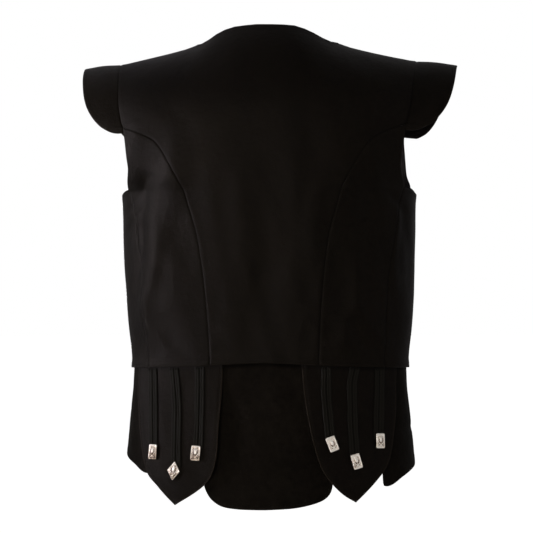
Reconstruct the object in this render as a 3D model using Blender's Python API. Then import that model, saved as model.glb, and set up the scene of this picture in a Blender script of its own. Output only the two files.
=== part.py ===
"""Jacobean waistcoat in its worn, hollow form, with nobody in it.

Frame: +Z up, the front faces -Y and the wearer's left is +X.
The origin lies midway between the two neck points, on the shoulder line.
Sizes and tables are in millimetres and turns in degrees; MM makes metres of them.

The garment's form is one smooth body form. A place on it is a turn round the body, 0 at
the centre back and 180 at the centre front, and a height. Above CAP_BASE the height is
measured round the shoulder cap, and it is 0 on the shoulder seam.
"""
import math
from collections import namedtuple

import bpy
from mathutils import Vector

MM = 0.001

# Cloth and layers
CLOTH = 2.0
WING_CLOTH = 3.0
TASH_CLOTH = 1.8
SEAM_GAP = 0.3
LAYER_GAP = 0.6
TUCK = 8.0
TASH_LIFT_AT_SEAM = -0.3
SKIRT_LIFT = -CLOTH - 1.1

# Body form
SQUARENESS = 2.3
CAP_BASE = -110.0
CAP_REACH = 110.0
# Radius by which a turn counts as a length along a seam
MEAN_RADIUS = 150.0
# Steps for slopes: a turn or share, and a height
SMALL_STEP = 0.01
SMALL_RISE = 2.0

Section = namedtuple("Section", "height half_width back_depth front_depth")
SECTIONS = [
    Section(-620, 199.0, 127.0, 136.0),
    Section(-560, 195.0, 118.0, 134.0),
    Section(-500, 190.0, 109.0, 131.0),
    Section(-440, 184.5, 102.0, 129.0),
    Section(-420, 184.0, 100.0, 128.0),
    Section(-360, 189.0, 102.5, 131.0),
    Section(-280, 193.2, 111.0, 135.0),
    Section(-200, 195.3, 119.0, 134.0),
    Section(-180, 205.0, 121.0, 131.0),
    Section(-150, 222.0, 122.0, 124.0),
    Section(-110, 236.0, 122.0, 112.0),
]

Shoulder = namedtuple("Shoulder", "x height")
SHOULDER_LINE = [
    Shoulder(0, 50), Shoulder(38, 40), Shoulder(52, 32), Shoulder(67, 20.5), Shoulder(80, 9.5),
    Shoulder(96, 0.5), Shoulder(125, -8), Shoulder(158, -15.5), Shoulder(197, -23.5), Shoulder(240, -30),
]

Waist = namedtuple("Waist", "turn height")
WAIST_SEAM = [
    Waist(0, -416.0), Waist(20, -419.5), Waist(35, -421.5), Waist(65, -424.5),
    Waist(90, -427.0), Waist(130, -431.0), Waist(180, -436.0), Waist(190, -436.0),
]

# Soft hollows and ridges that the worn cloth keeps: a long one each row, depth outwards
Fold = namedtuple("Fold", "x low high half_width depth")
BACK_FOLDS = [
    Fold(-6, -400, -120, 17, -2.2),
    Fold(28, -330, -130, 15, 1.5),
    Fold(-38, -360, -150, 18, 1.3),
    Fold(118, -390, -230, 14, 1.6),
    Fold(-122, -380, -250, 15, 1.4),
]

# Length over which each fold fades in and out
FOLD_FADE = 60.0

# Seam and edge spots of the wearer's left half: distance from the centre plane and height
Spot = namedtuple("Spot", "x height")
NECK_X = 93.0
BACK_NECK = [
    Spot(93, 0), Spot(91, -15), Spot(86, -23.5), Spot(78, -27), Spot(70, -29.5), Spot(55, -34.5),
    Spot(35, -38.5), Spot(0, -43.3),
]
PRINCESS_SEAM = [
    Spot(69.8, None), Spot(72.5, -361), Spot(76.4, -312), Spot(83.7, -256), Spot(97.4, -204.5),
    Spot(117.7, -161.5), Spot(138, -132.5), Spot(160, -120.5), Spot(182, -113),
]
SIDE_SEAM = [Spot(153.4, None), Spot(158, -322), Spot(166, -256), Spot(179, -192)]
ARMHOLE_ABOVE_NOTCH = [Spot(182, -113), Spot(190, -85), Spot(192.5, -59), Spot(195.5, -25), Spot(197, 0)]
ARMHOLE_BELOW_NOTCH = [Spot(182, -113), Spot(179, -131), Spot(175.5, -160), Spot(176, -174), Spot(179, -192)]
FRONT_ARMHOLE = [
    Spot(188, -188), Spot(182.5, -170), Spot(180.5, -145), Spot(181, -110), Spot(185, -70),
    Spot(191.5, -32), Spot(197, 0),
]
UNDERARM_TURN = 90.0
UNDERARM_HEIGHT = -199.0
# The front's two grids meet on a line from its armhole to the foot of the neck
CHEST_LINE_HEIGHT = -222.0
CHEST_TURN_SHIFT = 6.0
NECK_V = [Spot(-11, -246), Spot(24, -178), Spot(58, -96), Spot(81, -38), Spot(93, 0)]
FRONT_LAP = 12.0
CLOSE_SET_LIFT = -CLOTH - LAYER_GAP
LAP_FADE = (36.0, 80.0)
SKIRT_FADE = (100.0, 150.0)

# Wing: a crescent sewn into the upper armhole
WING_REACH = {"left": 47.5, "right": 52.5}
WING_DROP = 97.0
WING_ROUNDNESS = 2.3
WING_DROOP = 0.11
WING_PUFF = 1.5
WING_TOP = -23.5
WING_BACK_ROOT = [
    Spot(181, -120), Spot(182, -113), Spot(190, -85), Spot(192.5, -59), Spot(195.5, -25), Spot(197, 0),
]
WING_FRONT_ROOT = [Spot(197, 0), Spot(191.5, -32), Spot(185, -70), Spot(181, -110), Spot(180.8, -119)]
WING_OFF_EDGE = 0.5
WING_END = 0.6

# Skirts
BACK_SKIRT_X = 85.0
BACK_SKIRT_HEM = {
    "left": [
        Spot(78, -556), Spot(77, -570), Spot(73, -580), Spot(65, -589.5), Spot(50, -597),
        Spot(27, -599.5), Spot(0, -600),
    ],
    "right": [
        Spot(88.5, -556), Spot(88, -570), Spot(85.5, -579), Spot(78, -587), Spot(61, -593.5),
        Spot(36, -598), Spot(0, -600),
    ],
}
FLAP_BACK_X = 150.0
FLAP_CORNER = [Spot(151, -552), Spot(152, -566), Spot(157.5, -568), Spot(178, -557.5)]
Hem = namedtuple("Hem", "turn height")
FLAP_HEM = [Hem(90, -546), Hem(120, -532), Hem(150, -516), Hem(168, -508)]
FLAP_FRONT = [Spot(30, -504), Spot(22, -501), Spot(17, -493)]
# The left flap hangs a little higher than the right one behind, and level with it in front
FLAP_RISE = {"left": 9.0, "right": -6.5}
FLAP_RISE_FADE = (95.0, 150.0)
FLAP_FRONT_TOP_X = 6.0

# Tashes: the shield shaped panels over the openings between the skirts
TASH_INNER = {
    "left": [Spot(53, None), Spot(53.5, -452), Spot(56, -491), Spot(58, -530), Spot(61.5, -549)],
    "right": [Spot(48, None), Spot(51.5, -458), Spot(55.5, -484), Spot(62.5, -517), Spot(68, -537)],
}
TASH_OUTER = {
    "left": [Spot(171, None), Spot(169.5, -455), Spot(166, -482), Spot(160, -521), Spot(156.5, -541)],
    "right": [Spot(168.5, None), Spot(167, -462), Spot(163, -501), Spot(159, -527), Spot(156.5, -539)],
}
TASH_INNER_FOOT = {
    "left": [Spot(61.5, -549), Spot(66, -560), Spot(73, -569), Spot(88, -581), Spot(112, -596.5)],
    "right": [Spot(68, -537), Spot(74, -551.5), Spot(87, -569.5), Spot(101, -583), Spot(115, -592)],
}
TASH_OUTER_FOOT = {
    "left": [Spot(112, -596.5), Spot(126, -584), Spot(137, -573), Spot(149.5, -560), Spot(156.5, -541)],
    "right": [Spot(115, -592), Spot(127.5, -580), Spot(142.5, -564), Spot(151.5, -552), Spot(156.5, -539)],
}
TASH_STAND_OFF = 4.6
TASH_STAND_OFF_FALL = 110.0
TASH_INNER_CURL = 2.6
TASH_CURL_FADE = (50.0, 85.0)
TASH_CURL_FALL = (10.0, 70.0)

# Braids and their buttons, on each tash: the spots that a braid's middle passes, from the seam down
Braid = namedtuple("Braid", "name spots")
Button = namedtuple("Button", "name shape x height lean")
BRAIDS = {
    "left": [
        Braid("inner", [Spot(82.5, None), Spot(81.5, -463), Spot(81, -495), Spot(81.5, -527)]),
        Braid("middle", [Spot(118, None), Spot(114.5, -451), Spot(112, -479), Spot(110.5, -549)]),
        Braid("outer", [Spot(147.5, None), Spot(145, -465), Spot(142, -517), Spot(141.5, -528)]),
    ],
    "right": [
        Braid("inner", [Spot(79.5, None), Spot(79, -450), Spot(81, -482), Spot(84, -516)]),
        Braid("middle", [Spot(115.5, None), Spot(111.5, -446), Spot(111.5, -485), Spot(114, -537)]),
        Braid("outer", [Spot(147, None), Spot(145.5, -458), Spot(144, -480), Spot(142.5, -514)]),
    ],
}
TASH_BUTTONS = {
    "left": [
        Button("inner", "oblong", 85, -530.5, -3), Button("middle", "diamond", 112.5, -553.5, -5),
        Button("outer", "oblong", 141, -531, 0),
    ],
    "right": [
        Button("inner", "oblong", 85.5, -518.5, 20), Button("middle", "oblong", 115, -541, 14),
        Button("outer", "oblong", 143.5, -516.5, -3),
    ],
}
BRAID_WIDTH = 12.0
BRAID_BASE = 0.5
BRAID_UNDER_SEAM = 1.5
Rib = namedtuple("Rib", "share rise")
BRAID_PROFILE = [
    Rib(-1.0, 0.25), Rib(-0.8, 1.5), Rib(-0.42, 2.1), Rib(0.0, 1.2),
    Rib(0.42, 2.1), Rib(0.8, 1.5), Rib(1.0, 0.25),
]
OBLONG_SIZE = (13.0, 20.0)
DIAMOND_SIZE = (19.0, 25.5)
BUTTON_OVER_BRAID = 3.1
BUTTON_CORNER = 3.0
Ring = namedtuple("Ring", "inset rise")
BUTTON_RINGS = [
    Ring(0.5, 0.0), Ring(0.0, 0.5), Ring(0.0, 1.6), Ring(0.6, 2.1), Ring(1.5, 1.5), Ring(3.4, 2.3),
]
BUTTON_CROWN = 2.7
CORNER_STEPS = 3

# Front closure
FRONT_BUTTONS = 5
FRONT_BUTTON_TOP = -262.0
FRONT_BUTTON_FOOT = -418.0
FRONT_BUTTON_LIFT = 0.5

# Colours, roughness and metallic value of each material
Finish = namedtuple("Finish", "name colour roughness metallic")
FINISHES = {
    "barathea": Finish("black barathea", (0.012, 0.011, 0.011), 0.85, 0.0),
    "tash": Finish("black barathea of the tashes", (0.013, 0.011, 0.010), 0.85, 0.0),
    "braid": Finish("black ribbed braid", (0.022, 0.020, 0.020), 0.7, 0.0),
    "silver": Finish("antique silver", (0.62, 0.60, 0.57), 0.32, 1.0),
}


def smooth_value(places, values, place):
    """Reads a smooth curve through values that stand at rising places, with no overshoot."""
    place = min(max(place, places[0]), places[-1])
    slopes = []
    for k in range(len(places)):
        before = (values[k] - values[k - 1]) / (places[k] - places[k - 1]) if k > 0 else None
        after = (values[k + 1] - values[k]) / (places[k + 1] - places[k]) if k + 1 < len(places) else None
        if before is None or after is None:
            slopes.append(after if before is None else before)
        elif before * after <= 0:
            slopes.append(0.0)
        else:
            slopes.append(2 * before * after / (before + after))
    k = 0
    while k < len(places) - 2 and place > places[k + 1]:
        k += 1
    span = places[k + 1] - places[k]
    s = (place - places[k]) / span
    rise = values[k] * (1 + 2 * s) * (1 - s) ** 2 + values[k + 1] * s * s * (3 - 2 * s)
    return rise + span * (slopes[k] * s * (1 - s) ** 2 + slopes[k + 1] * s * s * (s - 1))


def smooth_step(low, high, value):
    """Runs softly from 0 at low to 1 at high."""
    s = min(max((value - low) / (high - low), 0.0), 1.0)
    return s * s * (3 - 2 * s)


def section_at(height):
    """Half width, back depth and front depth of the body form at a height."""
    height = min(height, CAP_BASE)
    heights = [row.height for row in SECTIONS]
    return [smooth_value(heights, [row[k] for row in SECTIONS], height) for k in (1, 2, 3)]


def shoulder_height(x):
    """Height of the shoulder line at a distance from the centre plane."""
    return smooth_value([row.x for row in SHOULDER_LINE], [row.height for row in SHOULDER_LINE], abs(x))


def waist_height(turn):
    """Height of the waist seam at a turn in radians."""
    places = [math.radians(row.turn) for row in WAIST_SEAM]
    return smooth_value(places, [row.height for row in WAIST_SEAM], abs(turn))


def turn_of(x, height, front=False):
    """Turn in radians of the form's point at a distance from the centre plane."""
    half_width = section_at(height)[0]
    turn = math.asin(min(abs(x) / half_width, 1.0) ** (SQUARENESS / 2))
    turn = math.copysign(turn, x)
    return math.pi - turn if front else turn


def signed_power(value, exponent):
    """Power of a number that keeps its sign."""
    return math.copysign(abs(value) ** exponent, value)


def fold_lift(x, height):
    """How far the soft folds of the back lift the cloth."""
    lift = 0.0
    for fold in BACK_FOLDS:
        along = smooth_step(fold.low, fold.low + FOLD_FADE, height)
        along *= 1 - smooth_step(fold.high - FOLD_FADE, fold.high, height)
        lift += fold.depth * along * math.exp(-((x - fold.x) / fold.half_width) ** 2)
    return lift


def form_point(turn, height, lift=0.0, side=1):
    """Point of the body form, with side -1 for the wearer's right half."""
    half_width, back_depth, front_depth = section_at(height)
    x = half_width * signed_power(math.sin(turn), 2 / SQUARENESS)
    depth = back_depth if math.cos(turn) >= 0 else front_depth
    y = depth * signed_power(math.cos(turn), 2 / SQUARENESS)
    z = height
    if height > CAP_BASE:
        arc = (height - CAP_BASE) / CAP_REACH * math.pi / 2
        y *= math.cos(arc)
        z = CAP_BASE + (shoulder_height(x) - CAP_BASE) * math.sin(arc)
    place = Vector((side * x, y, z))
    if math.cos(turn) > 0:
        lift += fold_lift(side * x, height)
    return place + form_normal(turn, height, side) * lift if lift else place


def form_normal(turn, height, side=1):
    """Outward normal of the body form without its folds."""
    def bare(a, b):
        half_width, back_depth, front_depth = section_at(b)
        x = half_width * signed_power(math.sin(a), 2 / SQUARENESS)
        y = (back_depth if math.cos(a) >= 0 else front_depth) * signed_power(math.cos(a), 2 / SQUARENESS)
        if b <= CAP_BASE:
            return Vector((x, y, b))
        arc = (b - CAP_BASE) / CAP_REACH * math.pi / 2
        return Vector((x, y * math.cos(arc), CAP_BASE + (shoulder_height(x) - CAP_BASE) * math.sin(arc)))

    across = bare(turn + SMALL_STEP, height) - bare(turn - SMALL_STEP, height)
    up = bare(turn, height + SMALL_RISE) - bare(turn, height - SMALL_RISE)
    normal = up.cross(across).normalized()
    return Vector((side * normal.x, normal.y, normal.z))


def spot_place(spot, front=False):
    """Turn and height of a spot; a spot with no height lies on the waist seam."""
    if spot.height is not None:
        return (turn_of(spot.x, spot.height, front), spot.height)
    turn = turn_of(spot.x, WAIST_SEAM[0].height, front)
    turn = turn_of(spot.x, waist_height(turn), front)
    return (turn, waist_height(turn))


def place_distance(a, b):
    """Rough distance between two places."""
    return math.hypot((b[0] - a[0]) * MEAN_RADIUS, b[1] - a[1])


def path(places, cells):
    """Smooth path through places (turn, height), cut into cells of equal length."""
    steps = [0.0]
    for a, b in zip(places, places[1:]):
        steps.append(steps[-1] + place_distance(a, b))
    fine = 12 * cells
    line = []
    for k in range(fine + 1):
        s = steps[-1] * k / fine
        line.append([smooth_value(steps, [place[c] for place in places], s) for c in (0, 1)])
    run = [0.0]
    for a, b in zip(line, line[1:]):
        run.append(run[-1] + place_distance(a, b))
    result = []
    k = 0
    for cell in range(cells + 1):
        goal = run[-1] * cell / cells
        while k < fine - 1 and run[k + 1] < goal:
            k += 1
        s = (goal - run[k]) / (run[k + 1] - run[k])
        result.append(tuple(line[k][c] + (line[k + 1][c] - line[k][c]) * s for c in (0, 1)))
    result[0] = tuple(places[0])
    result[-1] = tuple(places[-1])
    return result


def spots_path(spots, cells, front=False):
    """Path through spots given by their distance from the centre plane."""
    return path([spot_place(spot, front) for spot in spots], cells)


def waist_path(start, end, cells, above=0.0):
    """The waist seam between two turns, raised by a tuck if asked."""
    turns = [start + (end - start) * k / cells for k in range(cells + 1)]
    return [(turn, waist_height(turn) + above) for turn in turns]


def chain(*paths):
    """Joins paths end to end."""
    whole = list(paths[0])
    for part in paths[1:]:
        whole += part[1:]
    return whole


def shares(first, second):
    """Mean share of the length run at each point of two paths with as many points."""
    result = [0.0] * len(first)
    for line in (first, second):
        run = [0.0]
        for a, b in zip(line, line[1:]):
            run.append(run[-1] + place_distance(a, b))
        for k, value in enumerate(run):
            result[k] += value / run[-1] / 2
    return result


def fill(bottom, top, near, far):
    """Grid of places between four paths: near and far run upwards, bottom and top from near to far."""
    across = shares(bottom, top)
    up = shares(near, far)
    grid = []
    for i, v in enumerate(up):
        row = []
        for j, u in enumerate(across):
            place = []
            for c in (0, 1):
                corners = (1 - v) * ((1 - u) * bottom[0][c] + u * bottom[-1][c])
                corners += v * ((1 - u) * top[0][c] + u * top[-1][c])
                ruled = (1 - v) * bottom[j][c] + v * top[j][c] + (1 - u) * near[i][c] + u * far[i][c]
                place.append(ruled - corners)
            row.append(tuple(place))
        grid.append(row)
    return grid


def knit_grids(grids):
    """One list of places and of quads from grids that share rows, outward side to the viewer."""
    index = {}
    places = []
    quads = []

    def number(place):
        key = (round(place[0], 6), round(place[1], 4))
        if key not in index:
            index[key] = len(places)
            places.append(place)
        return index[key]

    for grid in grids:
        for low, high in zip(grid, grid[1:]):
            for j in range(len(low) - 1):
                quads.append([number(low[j]), number(high[j]), number(high[j + 1]), number(low[j + 1])])
    return places, quads


def pull_edges_in(points, normals, quads, gap):
    """Moves the edge points in by half of the seam gap, along the cloth."""
    edges = set()
    for quad in quads:
        for a, b in zip(quad, quad[1:] + quad[:1]):
            edges.add((a, b))
    after = {a: b for a, b in edges if (b, a) not in edges}
    before = {b: a for a, b in after.items()}
    moved = list(points)
    for k, following in after.items():
        normal = normals[k]
        # The quads run clockwise seen from outside here, so the cloth lies at this side of the edge
        ahead = (points[following] - points[k]).normalized()
        behind = (points[k] - points[before[k]]).normalized()
        inward_ahead = normal.cross(ahead)
        inward_behind = normal.cross(behind)
        inward = (inward_ahead + inward_behind).normalized()
        reach = max(inward.dot(inward_ahead), 0.4)
        moved[k] = points[k] + inward * (gap / reach)
    return moved, after


def make_object(name, points, faces, finish):
    """Mesh object with its own material, its points given in millimetres."""
    mesh = bpy.data.meshes.new(name)
    mesh.from_pydata([tuple(point * MM) for point in points], [], faces)
    mesh.update()
    material = bpy.data.materials.new(FINISHES[finish].name + " " + name)
    material.use_nodes = True
    shader = material.node_tree.nodes["Principled BSDF"]
    shader.inputs["Base Color"].default_value = (*FINISHES[finish].colour, 1.0)
    shader.inputs["Roughness"].default_value = FINISHES[finish].roughness
    shader.inputs["Metallic"].default_value = FINISHES[finish].metallic
    mesh.materials.append(material)
    mesh.shade_smooth()
    mesh.set_sharp_from_angle(angle=math.radians(40))
    made = bpy.data.objects.new(name, mesh)
    bpy.context.scene.collection.objects.link(made)
    return made


def cloth_wall(name, points, normals, quads, wall, finish, side=1, gap=SEAM_GAP / 2):
    """Closed wall of cloth: outer points, the same points moved in, and its edge all round."""
    if side < 0:
        quads = [quad[::-1] for quad in quads]
    points, rim = pull_edges_in(points, normals, quads, gap)
    inner = [point - normal * wall for point, normal in zip(points, normals)]
    count = len(points)
    faces = []
    for a, b, c, d in quads:
        # Both faces of the wall are split along the same, shorter diagonal
        if (points[a] - points[c]).length <= (points[b] - points[d]).length:
            halves = [[a, b, c], [a, c, d]]
        else:
            halves = [[a, b, d], [b, c, d]]
        faces += halves
        faces += [[k + count for k in half[::-1]] for half in halves]
    faces += [[b, a, a + count, b + count] for a, b in rim.items()]
    return make_object(name, points + inner, faces, finish)


def form_wall(name, grids, finish, side=1, wall=CLOTH, lift=None):
    """Wall of cloth that lies on the body form, lifted by a number or by a function of the place."""
    places, quads = knit_grids(grids)
    points = []
    normals = []
    for turn, height in places:
        rise = lift(turn, height) if lift else 0.0
        points.append(form_point(turn, height, rise, side))
        normals.append(form_normal(turn, height, side))
    return cloth_wall(name, points, normals, quads, wall, finish, side)


def mirrored(places):
    """The same places on the other half of the body."""
    return [(-turn, height) for turn, height in places]


# Cells along each seam, shared by the panels that meet there
PRINCESS_CELLS = 14
ARMHOLE_TOP_CELLS = 8
SHOULDER_CELLS = 5
NECK_CELLS = 7
SIDE_BACK_CELLS = 7
FRONT_SIDE_CELLS = 8
FRONT_CELLS = 9
FRONT_LOW_CELLS = 9
FRONT_HIGH_CELLS = 12
WING_CELLS = (18, 5)
BACK_SKIRT_CELLS = (14, 8)
SIDE_SKIRT_CELLS = (26, 6)
TASH_CELLS = (10, 9)
BRAID_CELLS = 9


def make_back_centre():
    """Centre back, cut in one from princess seam to princess seam."""
    princess = spots_path(PRINCESS_SEAM, PRINCESS_CELLS)
    armhole = spots_path(ARMHOLE_ABOVE_NOTCH, ARMHOLE_TOP_CELLS)
    shoulder = path([armhole[-1], (turn_of(NECK_X, 0), 0.0)], SHOULDER_CELLS)
    neck = spots_path(BACK_NECK, NECK_CELLS)
    top_half = chain(shoulder, neck)
    top = chain(mirrored(top_half), top_half[::-1])
    cells = len(top) - 1
    bottom = waist_path(-princess[0][0], princess[0][0], cells)
    yoke = path([mirrored(princess)[-1], princess[-1]], cells)
    below = fill(bottom, yoke, mirrored(princess), princess)
    above = fill(yoke, top, mirrored(armhole), armhole)
    form_wall("back_centre", [below, above], "barathea")


def make_back_side(label, side):
    """Side back, between the princess seam and the side seam, cut away under the arm."""
    princess = spots_path(PRINCESS_SEAM, PRINCESS_CELLS)
    side_seam = spots_path(SIDE_SEAM, PRINCESS_CELLS)
    bottom = waist_path(princess[0][0], side_seam[0][0], SIDE_BACK_CELLS)
    top = spots_path(ARMHOLE_BELOW_NOTCH, SIDE_BACK_CELLS)
    form_wall("back_side_" + label, [fill(bottom, top, princess, side_seam)], "barathea", side)


def form_x(turn, height):
    """Distance of a place from the centre plane, below 0 past the centre front."""
    return section_at(height)[0] * signed_power(math.sin(turn), 2 / SQUARENESS)


def right_lap_lift(turn, height):
    """The right front dips under the left one along the centre front."""
    if math.cos(turn) > 0:
        return 0.0
    return CLOSE_SET_LIFT * (1 - smooth_step(*LAP_FADE, form_x(turn, height)))


def skirt_lift(turn, height):
    """The skirts lie one cloth under the bodice, and two under its lap at the centre front."""
    if math.cos(turn) > 0:
        return SKIRT_LIFT
    return SKIRT_LIFT + CLOSE_SET_LIFT * (1 - smooth_step(*SKIRT_FADE, form_x(turn, height)))


def make_front(label, side, lift):
    """Front, from the side seam round to its lapped edge, with the V neck."""
    seam = spots_path(SIDE_SEAM, FRONT_LOW_CELLS)
    chest = spot_place(FRONT_ARMHOLE[0], True)
    underarm = path([seam[-1], (math.radians(UNDERARM_TURN), UNDERARM_HEIGHT), chest], FRONT_SIDE_CELLS)
    lap_top = spot_place(NECK_V[0], True)
    lap_foot = spot_place(Spot(-FRONT_LAP, None), True)
    lap = path([lap_foot, lap_top], FRONT_LOW_CELLS)
    chest_line = path([chest, ((chest[0] + lap_top[0]) / 2, CHEST_LINE_HEIGHT), lap_top], FRONT_CELLS)
    turn_at_chest = chest[0] - math.radians(CHEST_TURN_SHIFT)
    bottom = chain(
        waist_path(seam[0][0], turn_at_chest, FRONT_SIDE_CELLS),
        waist_path(turn_at_chest, lap_foot[0], FRONT_CELLS),
    )
    low = fill(bottom, chain(underarm, chest_line), seam, lap)
    armhole = spots_path(FRONT_ARMHOLE, FRONT_HIGH_CELLS, True)
    neck = spots_path(NECK_V, FRONT_HIGH_CELLS, True)
    shoulder = path([armhole[-1], neck[-1]], FRONT_CELLS)
    high = fill(chest_line, shoulder, armhole, neck)
    form_wall("front_" + label, [low, high], "barathea", side, lift=lift)


def wing_point(along, out, label, side):
    """Point of a wing: along runs from its back end to its front end, out from the seam to its edge."""
    root = wing_root(along)
    drop = min(max((WING_TOP - root.z) / WING_DROP, 0.0), 1.0)
    share = (1 - drop ** WING_ROUNDNESS) ** (1 / WING_ROUNDNESS)
    reach = WING_REACH[label] * share + WING_END
    puff = WING_PUFF * math.sin(math.pi * out) * share
    away = Vector((0.0, root.y, root.z - CAP_BASE)).normalized()
    place = root + Vector((WING_OFF_EDGE + reach * out, 0.0, -WING_DROOP * reach * out)) + away * puff
    return Vector((side * place.x, place.y, place.z))


def wing_root(along):
    """Point of the upper armhole edge that carries the wing."""
    back = [form_point(*spot_place(spot)) for spot in WING_BACK_ROOT]
    front = [form_point(*spot_place(spot, True)) for spot in WING_FRONT_ROOT]
    line = back + front[1:]
    run = [0.0]
    for a, b in zip(line, line[1:]):
        run.append(run[-1] + (b - a).length)
    goal = along * run[-1]
    return Vector([smooth_value(run, [point[c] for point in line], goal) for c in (0, 1, 2)])


def make_wing(label, side):
    """Crescent wing over the shoulder, sewn in along the top of the armhole."""
    along_cells, out_cells = WING_CELLS
    points = []
    normals = []
    small = SMALL_STEP
    for i in range(out_cells + 1):
        for j in range(along_cells + 1):
            a = j / along_cells
            u = i / out_cells
            points.append(wing_point(a, u, label, side))
            low, high = max(a - small, 0.0), min(a + small, 1.0)
            near, far = max(u - small, 0.0), min(u + small, 1.0)
            along = wing_point(high, u, label, side) - wing_point(low, u, label, side)
            out = wing_point(a, far, label, side) - wing_point(a, near, label, side)
            normals.append((along.cross(out) * side).normalized() * -1.0)
    row = along_cells + 1
    quads = []
    for i in range(out_cells):
        for j in range(along_cells):
            k = i * row + j
            quads.append([k, k + row, k + row + 1, k + 1])
    cloth_wall("wing_" + label, points, normals, quads, WING_CLOTH, "barathea", side, gap=0.0)


def make_back_skirt():
    """Centre back skirt, under the tashes, with rounded lower corners."""
    cells, rows = BACK_SKIRT_CELLS
    edge_top = turn_of(BACK_SKIRT_X, WAIST_SEAM[0].height)
    left_hem = spots_path(BACK_SKIRT_HEM["left"], cells // 2)
    right_hem = mirrored(spots_path(BACK_SKIRT_HEM["right"], cells // 2))
    top = waist_path(-edge_top, edge_top, cells, TUCK)
    hem = chain(right_hem, left_hem[::-1])
    grid = fill(hem, top, path([hem[0], top[0]], rows), path([hem[-1], top[-1]], rows))
    form_wall("skirt_back", [grid], "barathea", lift=skirt_lift)


def make_side_skirt(label, side):
    """Side skirt, from under the tash round to the centre front."""
    cells, rows = SIDE_SKIRT_CELLS
    back_top = turn_of(FLAP_BACK_X, WAIST_SEAM[0].height)
    front_top = turn_of(FLAP_FRONT_TOP_X, WAIST_SEAM[-1].height, True)
    places = [spot_place(spot) for spot in FLAP_CORNER]
    places += [(math.radians(row.turn), row.height) for row in FLAP_HEM]
    places += [spot_place(spot, True) for spot in FLAP_FRONT]
    fade = [math.radians(turn) for turn in FLAP_RISE_FADE]
    places = [(turn, height + FLAP_RISE[label] * (1 - smooth_step(*fade, turn))) for turn, height in places]
    hem = path(places, cells)
    top = waist_path(back_top, front_top, cells, TUCK)
    back_edge = path([hem[0], top[0]], rows)
    front_edge = path([hem[-1], top[-1]], rows)
    grid = fill(hem, top, back_edge, front_edge)
    form_wall("skirt_side_" + label, [grid], "barathea", side, lift=skirt_lift)


def tash_lift(turn, height):
    """The tash leaves the waist seam flush with the bodice and stands off the skirts below it."""
    fall = waist_height(turn) - height
    curl = 1 - smooth_step(*TASH_CURL_FADE, form_x(turn, height))
    curl *= TASH_INNER_CURL * smooth_step(*TASH_CURL_FALL, fall)
    return TASH_LIFT_AT_SEAM + TASH_STAND_OFF * smooth_step(0, TASH_STAND_OFF_FALL, fall) + curl


def make_tash(label, side):
    """Shield shaped tash, hung from the waist seam over the skirts."""
    cells, rows = TASH_CELLS
    inner = spots_path(TASH_INNER[label], rows)[::-1]
    outer = spots_path(TASH_OUTER[label], rows)[::-1]
    inner_foot = spots_path(TASH_INNER_FOOT[label], cells // 2)
    foot = chain(inner_foot, spots_path(TASH_OUTER_FOOT[label], cells // 2))
    top = waist_path(inner[-1][0], outer[-1][0], cells)
    grid = fill(foot, top, inner, outer)
    form_wall("tash_" + label, [grid], "tash", side, TASH_CLOTH, tash_lift)


def tash_point(x, height, lift, side):
    """Point above the outer face of a tash."""
    turn = turn_of(x, height)
    return form_point(turn, height, tash_lift(turn, height) + lift, side)


def make_braid(braid, label, side):
    """Doubled ribbed braid, sewn flat on the tash from the waist seam to its button."""
    rows = BRAID_CELLS
    top = spot_place(braid.spots[0])[1] - BRAID_UNDER_SEAM
    drops = [0.0] + [top - spot.height for spot in braid.spots[1:]]
    middles = [spot.x for spot in braid.spots]
    ring = len(BRAID_PROFILE)
    points = []
    for k in range(rows + 1):
        drop = drops[-1] * k / rows
        height = top - drop
        middle = smooth_value(drops, middles, drop)
        for rib in BRAID_PROFILE:
            x = middle + rib.share * BRAID_WIDTH / 2
            points.append(tash_point(x, height, BRAID_BASE + rib.rise, side))
        for rib in (BRAID_PROFILE[-1], BRAID_PROFILE[3], BRAID_PROFILE[0]):
            x = middle + rib.share * BRAID_WIDTH / 2
            points.append(tash_point(x, height, BRAID_BASE, side))
    loop = ring + 3
    faces = []
    for k in range(rows):
        for j in range(loop):
            a, b = k * loop + j, k * loop + (j + 1) % loop
            faces.append([a, b, b + loop, a + loop])
    faces.append(list(range(loop))[::-1])
    faces.append([rows * loop + j for j in range(loop)])
    if side < 0:
        faces = [face[::-1] for face in faces]
    make_object("braid_" + label + "_" + braid.name, points, faces, "braid")


def rounded_outline(corners, radius):
    """Counter-clockwise outline through corners (x, y), each rounded by an arc."""
    outline = []
    count = len(corners)
    for k in range(count):
        before, here, after = corners[k - 1], corners[k], corners[(k + 1) % count]
        into = Vector((here[0] - before[0], here[1] - before[1])).normalized()
        away = Vector((after[0] - here[0], after[1] - here[1])).normalized()
        half = math.acos(max(-1.0, min(1.0, into.dot(away)))) / 2
        bisector = (away - into).normalized()
        centre = Vector(here) + bisector * (radius / math.cos(half))
        start = math.atan2(-into.x, into.y)
        for step in range(CORNER_STEPS):
            share = step / (CORNER_STEPS - 1)
            angle = start + 2 * half * share
            outline.append(centre + Vector((math.cos(angle), math.sin(angle))) * radius)
    return outline


def button_corners(shape):
    """Corner points of a button's outline, counter-clockwise."""
    if shape == "diamond":
        w, h = DIAMOND_SIZE[0] / 2, DIAMOND_SIZE[1] / 2
        return [(w, 0.0), (0.0, h), (-w, 0.0), (0.0, -h)]
    w, h = OBLONG_SIZE[0] / 2, OBLONG_SIZE[1] / 2
    return [(w, -h), (w, h), (-w, h), (-w, -h)]


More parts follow.
